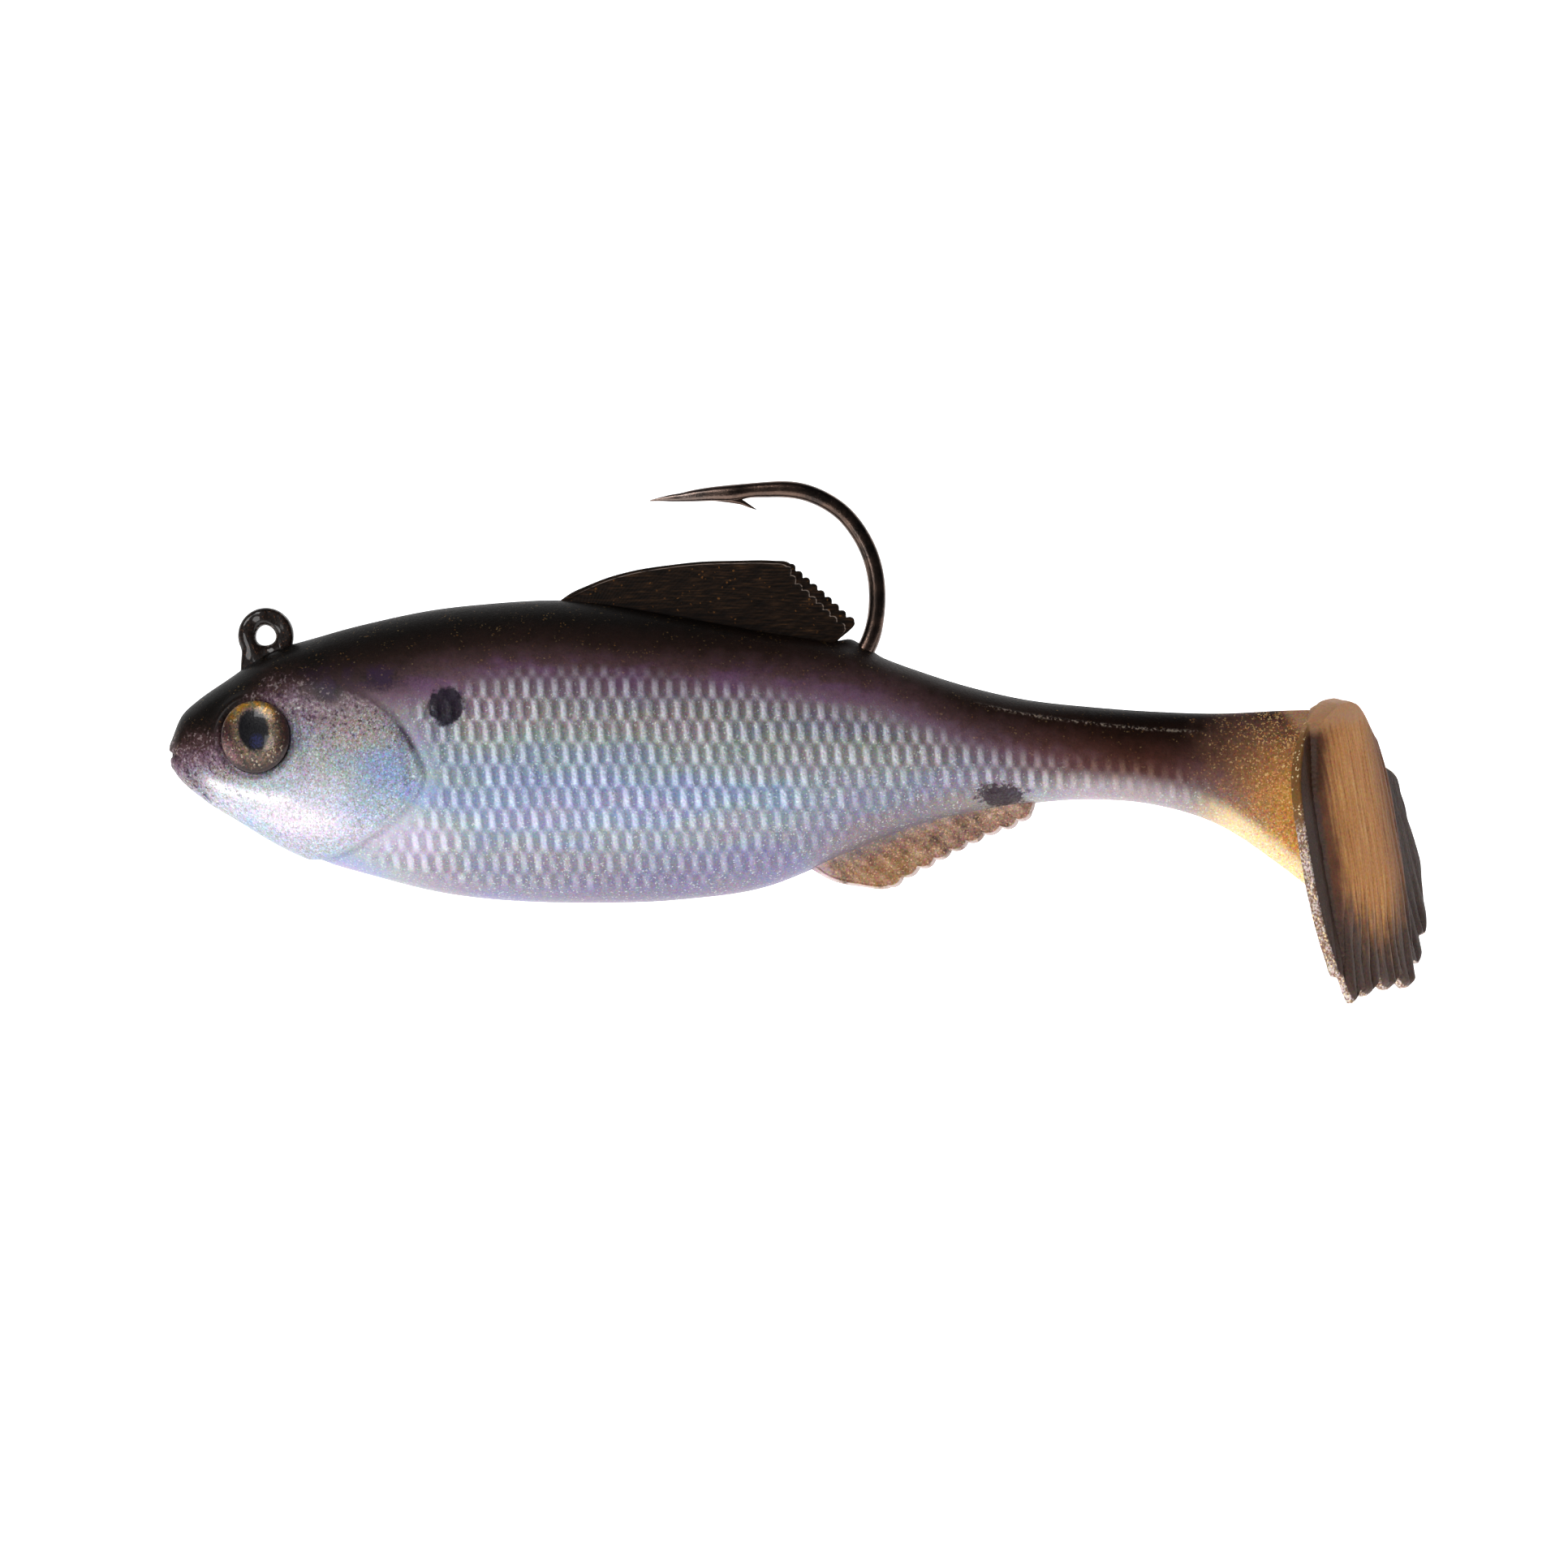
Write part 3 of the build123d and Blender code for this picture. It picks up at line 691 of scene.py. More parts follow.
def back_and_flanks(body):
    """Near-black back, holographic silver flanks and a purple band between them."""
    coat = body.ramp(body.ragged, -17, 7, [
        (-17, tint(166, 158, 178)), (-14.6, tint(176, 174, 190)), (-11.4, tint(180, 186, 204)),
        (-8.5, tint(170, 182, 206)), (-5.2, tint(174, 178, 184)), (-3.2, tint(166, 160, 165)),
        (-1.6, tint(146, 130, 138)), (-0.2, tint(112, 86, 102)), (1.2, tint(76, 54, 56)),
        (2.9, tint(38, 24, 20)), (4.6, tint(15, 9, 6)), (7, tint(7, 5, 3))])
    # Patches where the holographic film under the skin turns from blue to green, yellow and pink.
    hue = body.noise(body.stretched(body.rest, (0.1, 0.1, 0.24)), 1.0, 2.0)
    film = body.ramp(hue, 0.25, 0.75, [
        (0.25, tint(236, 190, 232)), (0.38, tint(240, 222, 214)), (0.48, tint(222, 240, 214)),
        (0.56, tint(196, 222, 250)), (0.66, tint(214, 206, 252)), (0.75, tint(250, 214, 226))])
    coat = body.mix(body.silver * 0.5, coat, film, "MULTIPLY")
    purple = body.noise(body.stretched(body.rest, (0.35, 0.3, 0.9)), 1.0, 3.0).between(0.42, 0.62)
    band = body.ragged.between(2.2, 0.4) * body.ragged.between(-2.0, -0.6)
    band = band * (1 - body.head) * body.x.between(55.0, 41.0)
    return body.mix(band * purple * 0.24, coat, tint(118, 72, 132))


def scale_light(body):
    """Where the scales are, and the painted highlight each catches: most at its middle, and some more than
    others.
    """
    rising, falling, scaly = body.split(body.place("lattice"))
    each = body.split(body.cells(body.place("lattice"), 1.0, flat=True))[0]
    swell = (rising.wave() + falling.wave()).between(0.55, 1.85)
    fading = 1.0 - body.x.between(60.0, 72.0) * 0.45
    return scaly, scaly * swell * (0.45 + each * 0.7 + (body.speck - 0.5) * 1.2) * fading


def scales_over(body, coat, scaly, painted_scale_highlight):
    """Darker gaps between the scales and a pale shine on each: painted shade in the gaps and a painted
    highlight on the scales.
    """
    dusk = (body.speck - 0.5) * body.ragged.between(-1.0, 1.0) * 1.4
    coat = body.dimmed(coat, 1.0 - scaly * 0.3 + painted_scale_highlight * 0.6 + dusk)
    return body.mix(painted_scale_highlight * 0.44, coat, tint(228, 234, 244))


def tail_over(body, coat):
    """Browner stalk with a paler underside, then the web's gold, a painted highlight along its lower edge and
    the tan cap over the paddle.
    """
    stalk = (body.x + (body.blotch - 0.5) * 8.0).between(54.0, 72.0)
    coat = body.mix(stalk * 0.85, coat, tint(228, 218, 206), "MULTIPLY")
    rusty = stalk * body.ragged.between(-2.2, 0.2) * body.x.between(80.0, 71.0)
    coat = body.mix(rusty * 0.8, coat, tint(246, 196, 148), "MULTIPLY")
    under = body.gap.between(2.6, 0.9) * body.x.between(60.0, 67.0) * body.x.between(79.0, 73.0)
    coat = body.mix(under * 0.45, coat, tint(206, 194, 200))
    height = body.z + (body.blotch - 0.5) * 3.0 + (body.speck - 0.5) * 2.6
    web = body.ramp(height, -24, -6, [
        (-24, tint(220, 184, 132)), (-17.5, tint(212, 154, 84)), (-13, tint(212, 148, 78)),
        (-9.6, tint(176, 122, 78)), (-7.4, tint(118, 78, 62)), (-6, tint(52, 34, 28))])
    web = body.mix(body.x.between(83.5, 77.0) * 0.55, web, tint(128, 92, 84))
    coat = body.mix(body.gold_zone, coat, body.dimmed(web, 1.0 + (body.speck - 0.5) * 1.5))
    # Painted highlight along the web's lower edge.
    keel_highlight = body.gap.between(2.3, 1.0) * body.x.between(74.5, 79.0)
    coat = body.mix(keel_highlight * 0.85, coat, tint(244, 222, 176))
    return body.mix(body.cap, coat, tint(186, 144, 112))


def belly_over(body, coat):
    """Painted shade under the belly, and a brown smear at the anal fin's root."""
    belly = (body.gap + (body.blotch - 0.5) * 2.0).between(7.5, 1.5)
    belly = belly * body.x.between(6.0, 34.0) * body.x.between(62.0, 52.0)
    # Painted shade: darker and more lavender towards the belly.
    coat = body.mix(belly * 0.62, coat, tint(112, 102, 128))
    fin_root = (body.gap + (body.speck - 0.5)).between(3.2, 1.2)
    fin_root = fin_root * body.x.between(43.0, 49.0) * body.x.between(62.0, 57.0)
    return body.mix(fin_root * 0.6, coat, tint(134, 116, 110))


def head_over(body, coat):
    """Paler and darker clouds on the head, each broken up by the mottle of the film under it. The pale clouds
    along the jaw, jowl and breast are pale skin, with a painted sheen over the jaw and jowl.
    """
    x, z, torn = body.x, body.z, body.torn
    # Pale skin along the jaw, jowl and breast, partly a painted sheen on the jaw and jowl.
    jaw = oval_mark(x, z + x * 0.24, (0.4, -14.0), (5.0, 1.3), torn, 0.5)
    jowl = oval_mark(x, z, (4.9, -14.4), (3.8, 2.3), torn, 0.7)
    breast = oval_mark(x, z, (12.0, -16.2), (3.0, 1.9), torn, 0.7)
    coat = body.mix(jaw * 0.55 + jowl * 0.5 + breast * 0.22, coat, tint(238, 228, 240))
    plate = oval_mark(x, z, (7.8, -7.4), (3.4, 2.2), body.mottle, 0.7)
    coat = body.mix(plate * 0.34, coat, tint(150, 138, 130))
    patch = oval_mark(x, z, (9.9, -10.5), (1.9, 1.5), torn, 0.6)
    coat = body.mix(patch * 0.5, coat, tint(116, 142, 184))
    smudge = oval_mark(x, z, (8.4, -13.2), (1.8, 1.8), torn, 0.7)
    coat = body.mix(smudge * 0.3, coat, tint(132, 148, 140))
    crown = oval_mark(x, z, (5.4, -4.7), (1.1, 0.8), torn, 0.5)
    temple = oval_mark(x, z, (9.6, -3.5), (1.2, 0.9), torn, 0.6)
    nape = oval_mark(x, z, (7.6, -3.6), (4.6, 0.9), torn, 0.7)
    violet = body.mix(body.blotch.between(0.4, 0.6), tint(34, 21, 22), tint(50, 30, 54))
    coat = body.mix(crown * 0.85 + temple * 0.6 + nape * 0.5, coat, violet)
    shady = body.ragged.between(-6.5, -1.0) * body.ragged.between(3.0, 1.0) * body.head
    coat = body.mix(torn.between(0.56, 0.8) * shady * 0.7, coat, violet)
    coat = body.mix(torn.between(0.42, 0.2) * shady * 0.3, coat, tint(196, 178, 176))
    return body.mix(body.head * body.mottle.between(0.5, 0.34) * body.silver * 0.3, coat, tint(96, 78, 92))


def marks_over(body, coat):
    """The jaw's painted highlight, fine lines of painted shade in the creases of mouth, eye socket and gill,
    and the casting seam's light.
    """
    # Painted highlight along the jaw.
    coat = body.mix(body.read("glare") * 0.95 * body.torn.between(0.2, 0.45), coat, tint(254, 253, 255))
    # Painted shade in the creases of mouth, eye socket and gill.
    coat = body.mix(body.read("lines") * 0.8, coat, tint(56, 40, 46))
    return body.mix(body.read("seam") * body.speck.between(0.46, 0.62) * 0.6, coat, tint(170, 154, 140))


def glitter_over(body, coat):
    """A random tone for each fleck: gold in the back and the tail, rainbow in the sides."""
    red, green, blue = body.split(body.grain)
    shine = body.silver * (0.26 + body.head * 0.1) + body.gold_zone * 0.34 + 0.08
    coat = body.mix(shine, coat, body.grain, "SOFT_LIGHT")
    thick = body.gold_zone * (body.mottle.between(0.3, 0.7) * 0.24 + body.x.between(76.0, 84.0) * 0.06)
    in_back = (1 - body.silver) * body.blotch.between(0.45, 0.65) * 0.12
    fleck = red.between(0.92 - thick, 0.98 - thick) * (body.gold_zone * 0.6 + in_back) * (1 - body.cap)
    coat = body.mix(fleck, coat, body.mix(green, tint(214, 140, 62), tint(255, 226, 160)))
    coat = body.dimmed(coat, 1.0 + body.head * (blue - 0.5) * 0.5)
    return body.mix(green.between(0.93, 0.98) * body.silver * 0.32, coat, tint(246, 246, 252))


def ink_over(body, coat):
    """Ink spots over the glitter: one on the shoulder and one at the end of the anal fin."""
    shoulder = oval_mark(body.x, body.z, (14.95, -5.75), (1.42, 1.6), body.mottle, 0.16)
    vent = oval_mark(body.x + body.z * 0.25, body.z, (56.4, -13.0), (1.95, 0.95), body.torn, 0.25)
    coat = body.mix(shoulder * (0.86 + body.speck * 0.14), coat, tint(22, 15, 30))
    return body.mix(vent * (0.7 + body.speck * 0.4), coat, tint(48, 34, 42))


def body_finish():
    """Soft plastic: near-black back, purple line, holographic silver scales, pale belly and gold tail."""
    body = BodyPaint()
    scaly, painted_scale_highlight = scale_light(body)
    coat = scales_over(body, back_and_flanks(body), scaly, painted_scale_highlight)
    for layer in (tail_over, belly_over, head_over, marks_over, glitter_over, ink_over):
        coat = layer(body, coat)
    glint = body.split(body.grain)[2]
    body.set("Base_Color", coat)
    body.set("Metallic", body.silver * 0.42 + body.gold_zone * 0.15)
    body.set("Roughness", 0.5 - body.silver * 0.12 + glint * 0.1)
    body.set("Coat_Weight", 0.03 + body.head * 0.09)
    body.bump(painted_scale_highlight * 0.06 + body.speck * 0.025 + glint * 0.02, 1.0)
    return body


# ---- the soft body's pieces ---------------------------------------------------------------------
SKIN_FLEX = 2.4  # a distance each side of a stalk hinge, in millimetres
WEB_END = 0.3  # how far ahead of the hub the web's skin stops


def skin_piece(name, skin, first, last, finish):
    """A closed stretch of the body, from one ring to another, shaded as part of the whole."""
    points, faces = tube(skin[first:last + 1])
    side = outward(skin)[first:last + 1].reshape(-1, 3)
    rings, count = last + 1 - first, skin.shape[1]
    quads = (rings - 1) * count
    corners = [side[corner] for face in faces[:quads] for corner in face]
    for end, fan in ((-1, faces[quads:quads + count]), (1, faces[quads + count:])):
        corners += [(end, 0, 0)] * (3 * len(fan))
    return dress(name, points, faces, finish, body_marks(points), corners, sharp_from=60)


def make_body(finish):
    """Trunk, two lengths of stalk and the web, cut from one skin between the hinges."""
    x, skin = body_grid()
    sway = [hinge_point(name)[0] for name in ("tail_sway", "tail_sway_middle", "tail_sway_rear")]
    seams = [(sway[0] + sway[1]) / 2, (sway[1] + sway[2]) / 2, (sway[2] + paddle_hinge[0]) / 2 + 0.6,
             paddle_hinge[0] - WEB_END]
    cuts = [0, *(int(np.argmin(abs(x - seam))) for seam in seams)]
    plan = [
        ("trunk_skin", "trunk", "stalk_front", sway[0], ["trunk_casting"]),
        ("stalk_skin", "stalk_front", "stalk_rear", sway[1], ["tail_stalk_front", "tail_stalk_rear"]),
        ("flare_skin", "stalk_rear", "web", sway[2], ["tail_web"]),
    ]
    for (name, before, after, hinge_x, nodes), first, last in zip(plan, cuts, cuts[1:]):
        piece = skin_piece(name, skin, first, last, finish)
        (hinge_x - SKIN_FLEX) * MM
        (hinge_x + SKIN_FLEX) * MM
        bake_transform(piece)
        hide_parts(*nodes)
    web = skin_piece("web_skin", skin, cuts[3], cuts[4], finish)
    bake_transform(web)


# ---- eyes ---------------------------------------------------------------------------------------
EYE_TURN = math.radians(15)  # the eyes look a little forward
EYE_BULGE = 0.56
EYE_SUNK = 0.7
EYE_PROUD = 0.03  # how far the dome stands over the frame's dome


def eye_finish():
    """A printed holographic eye under a clear epoxy dome, with painted shade round its rim."""
    eye = Finish("eye_under_epoxy", Coat_Weight=0.35, Coat_Roughness=0.05, Coat_IOR=1.5,
                 Specular_IOR_Level=0.2)
    place = eye.place("look")
    back, up, _ = eye.split(place)
    out = (back * back + up * up) ** 0.5 / eye_radius
    leaned = (back - 0.05) * 0.94 + (up - 0.5) * 0.34
    crossed = (up - 0.5) * 0.94 - (back - 0.05) * 0.34
    pupil = ((leaned / 1.26) ** 2.0 + (crossed / 1.66) ** 2.0) ** 0.5
    cloud = eye.noise(place, 1.1, 3.0)
    fine = eye.noise(place, 5.0, 3.0)
    grain = eye.cells(place, 8.0)
    sparkle, spark_size, _ = eye.split(grain)
    iris = eye.ramp(pupil + (cloud - 0.5) * 0.6 + (fine - 0.5) * 0.5, 0.9, 2.4, [
        (0.9, tint(66, 58, 54)), (1.08, tint(120, 106, 90)), (1.3, tint(124, 106, 88)),
        (1.55, tint(98, 78, 64)), (1.8, tint(72, 54, 46)), (2.05, tint(78, 56, 50)), (2.4, tint(56, 42, 38))])
    gold = up.between(0.6, 2.2) * pupil.between(1.05, 1.35) * back.between(2.2, 0.9)
    iris = eye.mix(gold * cloud.between(0.35, 0.55) * 0.85, iris, tint(204, 144, 48))
    iris = eye.mix(gold * cloud.between(0.55, 0.42) * 0.35, iris, tint(122, 142, 100))
    front = (back + (fine - 0.5) * 1.2 + up * 0.2).between(-1.2, -2.3)
    iris = eye.mix(front * 0.7, iris, eye.mix(up.between(0.6, -1.0), tint(64, 44, 40), tint(150, 112, 112)))
    iris = eye.dimmed(iris, 0.42 + sparkle * 0.72)
    iris = eye.mix(0.3, iris, grain, "SOFT_LIGHT")
    iris = eye.mix(spark_size.between(0.9, 0.98) * 0.45, iris, tint(222, 204, 180))
    blue = (back - 0.35) * (back - 0.35) + (up + 0.35) * (up + 0.35)
    centre = eye.mix(blue.between(0.55, 0.1) * fine.between(0.35, 0.6), tint(12, 11, 15), tint(34, 37, 74))
    colour = eye.mix((pupil + (fine - 0.5) * 0.1).between(1.1, 0.88), iris, centre)
    rough_out = out + (fine - 0.5) * 0.12
    # Painted shade: a dark curve along the lower side of the eye's rim, and a darker ring round the dome's
    # edge.
    lower_rim_shade = rough_out.between(0.84, 0.97) * (up - back * 0.5).between(0.8, -1.6)
    colour = eye.mix(lower_rim_shade * 0.9, colour, tint(38, 29, 28))
    colour = eye.mix(rough_out.between(0.93, 1.02) * 0.6, colour, tint(70, 54, 54))
    eye.set("Base_Color", colour)
    eye.set("Metallic", pupil.between(0.95, 1.2) * 0.3)
    eye.set("Roughness", 0.4 - sparkle * 0.14)
    eye.bump(fine, 0.02)
    return eye


def make_eye(side, finish):
    """A domed lens set into the head's flank, its printed eye showing through."""
    name = "left" if side == LEFT else "right"
    low, high = node_box(f"eye_dome_{name}")
    out = np.array([-math.sin(EYE_TURN), side * math.cos(EYE_TURN), 0])
    to_tail = np.array([math.cos(EYE_TURN), side * math.sin(EYE_TURN), 0])
    apex = max(abs(low[1]), abs(high[1]))
    centre = np.array([eye_x, side * (apex - EYE_BULGE + EYE_PROUD), eye_z])
    turn = np.linspace(0, 2 * math.pi, 97)[:-1]
    dome = np.linspace(0.02, 1, 34)
    reach = np.concatenate([dome, [1.0, 0.97, 0.6, 0.05]]) * eye_radius
    height = np.concatenate([EYE_BULGE * (1 - dome**2.6) ** 0.8, [-0.2, -EYE_SUNK, -EYE_SUNK, -EYE_SUNK]])
    back, up = reach[:, None] * np.cos(turn), reach[:, None] * np.sin(turn)
    rings = centre + back[..., None] * to_tail + up[..., None] * [0, 0, 1]
    rings = rings + height[:, None, None] * out
    look = np.stack([back, up, np.zeros_like(up)], axis=-1).reshape(-1, 3)
    points, faces = tube(rings)
    look = np.concatenate([look, [(0, 0, 0), (0, 0, 0)]])
    piece = dress(f"eye_{name}", points, faces, finish, {"look": look}, sharp_from=50)
    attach(piece, "trunk")
    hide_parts(f"eye_dome_{name}")


# ---- line tie and hook --------------------------------------------------------------------------
def tie_finish():
    """Thick black paint over cast metal, glossy and a little lumpy."""
    paint = Finish("black_jig_paint", Coat_Weight=0.5, Coat_Roughness=0.07, Specular_IOR_Level=0.15)
    place = paint.place()
    x, _, z = paint.split(place)
    lump, fine = paint.noise(place, 1.3, 3.0), paint.noise(place, 6.0, 3.0)
    reach = (x * x + z * z) ** 0.5
    worn = reach.between(1.05, 0.8) * fine.between(0.45, 0.6)
    colour = paint.mix(lump, tint(6, 4, 3), tint(34, 22, 16))
    colour = paint.mix(fine.between(0.6, 0.7) * 0.5, colour, tint(120, 78, 52))
    colour = paint.mix(worn * 0.6, colour, tint(150, 138, 130))
    paint.set("Base_Color", colour)
    paint.set("Roughness", 0.28 + lump * 0.2)
    paint.bump(lump * 1.0 + fine * 0.35, 0.12)
    return paint


TIE_HALF = 0.75  # half the ring's thickness
TIE_HOLE = 0.8  # the hole's radius
TIE_FOOT = -5.2  # the stem's buried end
TIE_SIDES = ((-1, 1.95, 0.1), (1, 2.12, 1.1))  # front and rear of the stem: its half width and its flare
TIE_CORNER_POWER = 0.62  # under 1, for a ring that is squarer in section than a circle


def make_line_tie(finish):
    """A cast ring on a stem that flares into the head."""
    _, high = node_box("line_tie")
    turn = np.linspace(0, 2 * math.pi, 181)[:-1]
    way = np.stack([np.sin(turn), np.cos(turn)], axis=1)  # x and z of each spoke
    depth = np.linspace(0.4, 5, 40)
    reach = np.full(len(turn), high[0] + 0.07)
    for side, waist, flare in TIE_SIDES:
        half = waist + flare * smooth(depth, 0.9, 3.2)
        corner, far = np.arctan2(half, depth), np.hypot(half, depth)
        lean = np.arctan2(abs(way[:, 0]), -way[:, 1])
        foot = -TIE_FOOT / np.maximum(-way[:, 1], 0.2)
        stem = np.minimum(np.interp(lean, corner[::-1], far[::-1]), foot)
        there = (way[:, 0] * side >= 0) & (lean < corner.max())
        reach = np.where(there, np.maximum(reach, stem), reach)
    reach = np.convolve(np.concatenate([reach[-3:], reach, reach[:3]]), np.ones(7) / 7, "valid")
    hole = TIE_HOLE + 0.03 * np.cos(3 * turn + 0.6)
    girth = np.linspace(0, 2 * math.pi, 45)[:-1]
    across = rounded_square(np.cos(girth), TIE_CORNER_POWER)
    thick = rounded_square(np.sin(girth), TIE_CORNER_POWER)
    at = ((hole + reach) / 2)[:, None] + ((reach - hole) / 2)[:, None] * across
    x, z = at * way[:, :1], at * way[:, 1:]
    half = TIE_HALF + 0.9 * smooth(-z, 2.6, 4.8) + 0.04 * np.sin(3.1 * x + 1.7 * z)
    rings = np.stack([x, half * thick, z], axis=-1)
    points, faces = tube(rings, looped=True)
    piece = dress("line_tie_ring", points, faces, finish)
    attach(piece, "trunk")
    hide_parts("line_tie")


def hook_finish():
    """Black nickel on drawn wire: brown in its reflections, brighter where it is rubbed."""
    plate = Finish("black_nickel_wire", Metallic=1.0, Coat_Weight=0.2, Coat_Roughness=0.1)
    place = plate.place()
    x, _, z = plate.split(place)
    cloud = plate.noise(place, 0.7, 3.0)
    drawn = plate.noise(place, 9.0, 3.0)
    point = x.between(39.0, 33.0) * z.between(9.0, 10.0)
    colour = plate.mix(cloud.between(0.35, 0.65), tint(56, 48, 44), tint(98, 78, 68))
    colour = plate.mix(drawn.between(0.5, 0.75) * 0.4, colour, tint(150, 126, 112))
    colour = plate.mix(point * 0.4, colour, tint(150, 132, 124))
    plate.set("Base_Color", colour)
    plate.set("Roughness", 0.17 + drawn * 0.14)
    plate.bump(drawn, 0.012)
    return plate


WIRE_SPOKES = 40
WIRE_THINNEST = 0.02


def swept(path, across, deep, power):
    """Rings of a wire that runs along a side-view path, with its half sizes across and in its plane."""
    way = np.gradient(path, axis=0)
    way /= np.linalg.norm(way, axis=1, keepdims=True)
    turn = np.linspace(0, 2 * math.pi, WIRE_SPOKES + 1)[:-1]
    side, up = rounded_square(np.cos(turn), power), rounded_square(np.sin(turn), power)
    x = path[:, :1] - way[:, 1:] * deep[:, None] * up
    z = path[:, 1:] + way[:, :1] * deep[:, None] * up
    return np.stack([x, across[:, None] * side, z], axis=-1)


# The wire from the lead along the hidden shank, up out of the back and round to the point, with its
# half thickness at each place.
HOOK_LINE = [((6.0, -5.5), 0.69), ((20.0, -5.5), 0.69), ((34.0, -5.5), 0.69), ((41.4, -5.5), 0.69),
             ((44.5, -4.88), 0.69), ((47.2, -3.07), 0.72), ((48.6, -1.35), 0.76), ((49.2, -0.04), 0.74),
             ((49.5, 1.2), 0.7), ((49.65, 2.8), 0.69), ((49.55, 4.7), 0.69), ((49.1, 6.5), 0.69),
             ((48.15, 8.4), 0.69), ((46.7, 10.12), 0.69), ((45.2, 11.1), 0.69), ((43.5, 11.72), 0.69),
             ((41.9, 11.9), 0.68), ((40.8, 11.87), 0.65), ((39.3, 11.79), 0.61), ((37.9, 11.6), 0.68),
             ((36.1, 11.5), 0.58), ((34.5, 11.34), 0.46), ((33.7, 11.24), 0.36), ((32.93, 11.18), 0.295),
             ((32.14, 11.1), 0.18), ((31.2, 10.97), 0.05)]
BARB_LINE = [(36.6, 11.35), (37.8, 11.08), (38.7, 10.82), (39.25, 10.54), (39.85, 10.24)]
BARB_HALF = (0.36, 0.42)  # half its size across and in the hook's plane, at its root


def make_hook(finish):
    """The hook's wire from the lead to its point, with the barb cut up from its inner side."""
    places, halves = zip(*HOOK_LINE)
    path = traced(places, 430)
    steps = np.linalg.norm(np.diff(np.array(places), axis=0), axis=1)
    stops = np.concatenate([[0], np.cumsum(steps)]) / steps.sum()
    share = np.linspace(0, 1, len(path))
    half = np.maximum(through(stops, halves, share), WIRE_THINNEST)
    bend = smooth(share, 0.62, 0.72)
    wire, faces = tube(swept(path, half * (1 - 0.08 * bend), half, 0.86))
    spur = traced(BARB_LINE, 40)
    share = np.linspace(0, 1, len(spur))
    across = BARB_HALF[0] * (1 - share**1.5) + WIRE_THINNEST
    deep = BARB_HALF[1] * (1 - share) ** 0.8 + WIRE_THINNEST
    barb, barb_faces = tube(swept(spur, across, deep, 0.75))
    points = np.concatenate([wire, barb])
    faces += [[corner + len(wire) for corner in face] for face in barb_faces]
    piece = dress("jig_hook_wire", points, faces, finish, sharp_from=50)
    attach(piece, "trunk")
    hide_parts("jig_hook")


def lead_finish():
    """Cast lead, dull and grey, with a skin of oxide."""
    lead = Finish("cast_lead", Metallic=0.9)
    place = lead.frame_place()
    cloud, fine = lead.noise(place, 0.5, 4.0), lead.noise(place, 4.0, 3.0)
    lead.set("Base_Color", lead.mix(cloud, tint(96, 98, 104), tint(150, 150, 154)))
    lead.set("Roughness", 0.5 + fine * 0.2)
    lead.bump(fine + cloud, 0.05)
    return lead


def foil_finish():
    """Holographic film: a silver base with a random hue in each fleck."""
    film = Finish("holographic_film", Metallic=0.9)
    place = film.frame_place()
    fleck = film.cells(place, 3.0)
    film.set("Base_Color", film.mix(0.35, tint(206, 210, 220), fleck, "OVERLAY"))
    film.set("Roughness", film.split(fleck)[1] * 0.2 + 0.16)
    film.bump(film.noise(place, 1.5, 2.0), 0.04)
    return film


# ---- fins ---------------------------------------------------------------------------------------
FIN_ROWS = 44
FIN_COLUMNS = 300


def along_line(line, share):
    """Points at shares of a traced line's length."""
    stops = np.linspace(0, 1, len(line))
    return np.stack([np.interp(share, stops, line[:, axis]) for axis in (0, 1)], axis=1)


def fin_skin(edge, root, lean, thickness, rays, ray_height, line_inset):
    """Rings of a thin fin, and its share along, its height and its place in from the edge line at each
    point. edge and root are traced lines that run from its front to its rear, lean pairs places on the
    edge with the places on the root that their rays start from, and line_inset pairs places on the
    edge with how far in from it the fine line runs."""
    share = np.linspace(0, 1, FIN_COLUMNS)
    at_edge = along_line(edge, share)
    at_root = along_line(root, through(*zip(*lean), share))
    rise = 1 - (1 - np.linspace(0, 1, FIN_ROWS)) ** 1.5
    side = at_root[:, None] + (at_edge - at_root)[:, None] * rise[:, None]
    length = np.linalg.norm(at_edge - at_root, axis=1)[:, None]
    inside = (1 - rise)[None, :] * length
    half = thickness[0] + (thickness[1] - thickness[0]) * rise[None, :] ** 0.7
    half = half * np.sqrt(np.clip(1 - (1 - np.clip(inside / 0.22, 0, 1)) ** 2, 0.02, 1))
    half = half * np.clip(np.minimum(share, 1 - share) * 30, 0.08, 1)[:, None] ** 0.5
    line_in = np.interp(share, *zip(*line_inset))[:, None]
    ripple = ray_height * np.cos(2 * math.pi * rays * share)[:, None] * smooth(inside, line_in, line_in + 0.5)
    bead = 0.06 * hump(inside - line_in, 0.1)
    half = half + (ripple + bead) * smooth(rise, 0.1, 0.4)[None, :]
    left = np.stack([side[..., 0], -half, side[..., 1]], axis=-1)
    right = np.stack([side[..., 0], half, side[..., 1]], axis=-1)
    rings = np.concatenate([left, right[:, ::-1]], axis=1)
    wide = np.broadcast_to(share[:, None], inside.shape)
    marks = np.stack([wide, np.broadcast_to(rise, inside.shape), inside - line_in], axis=-1)
    return rings, at_points(np.concatenate([marks, marks[:, ::-1]], axis=1))


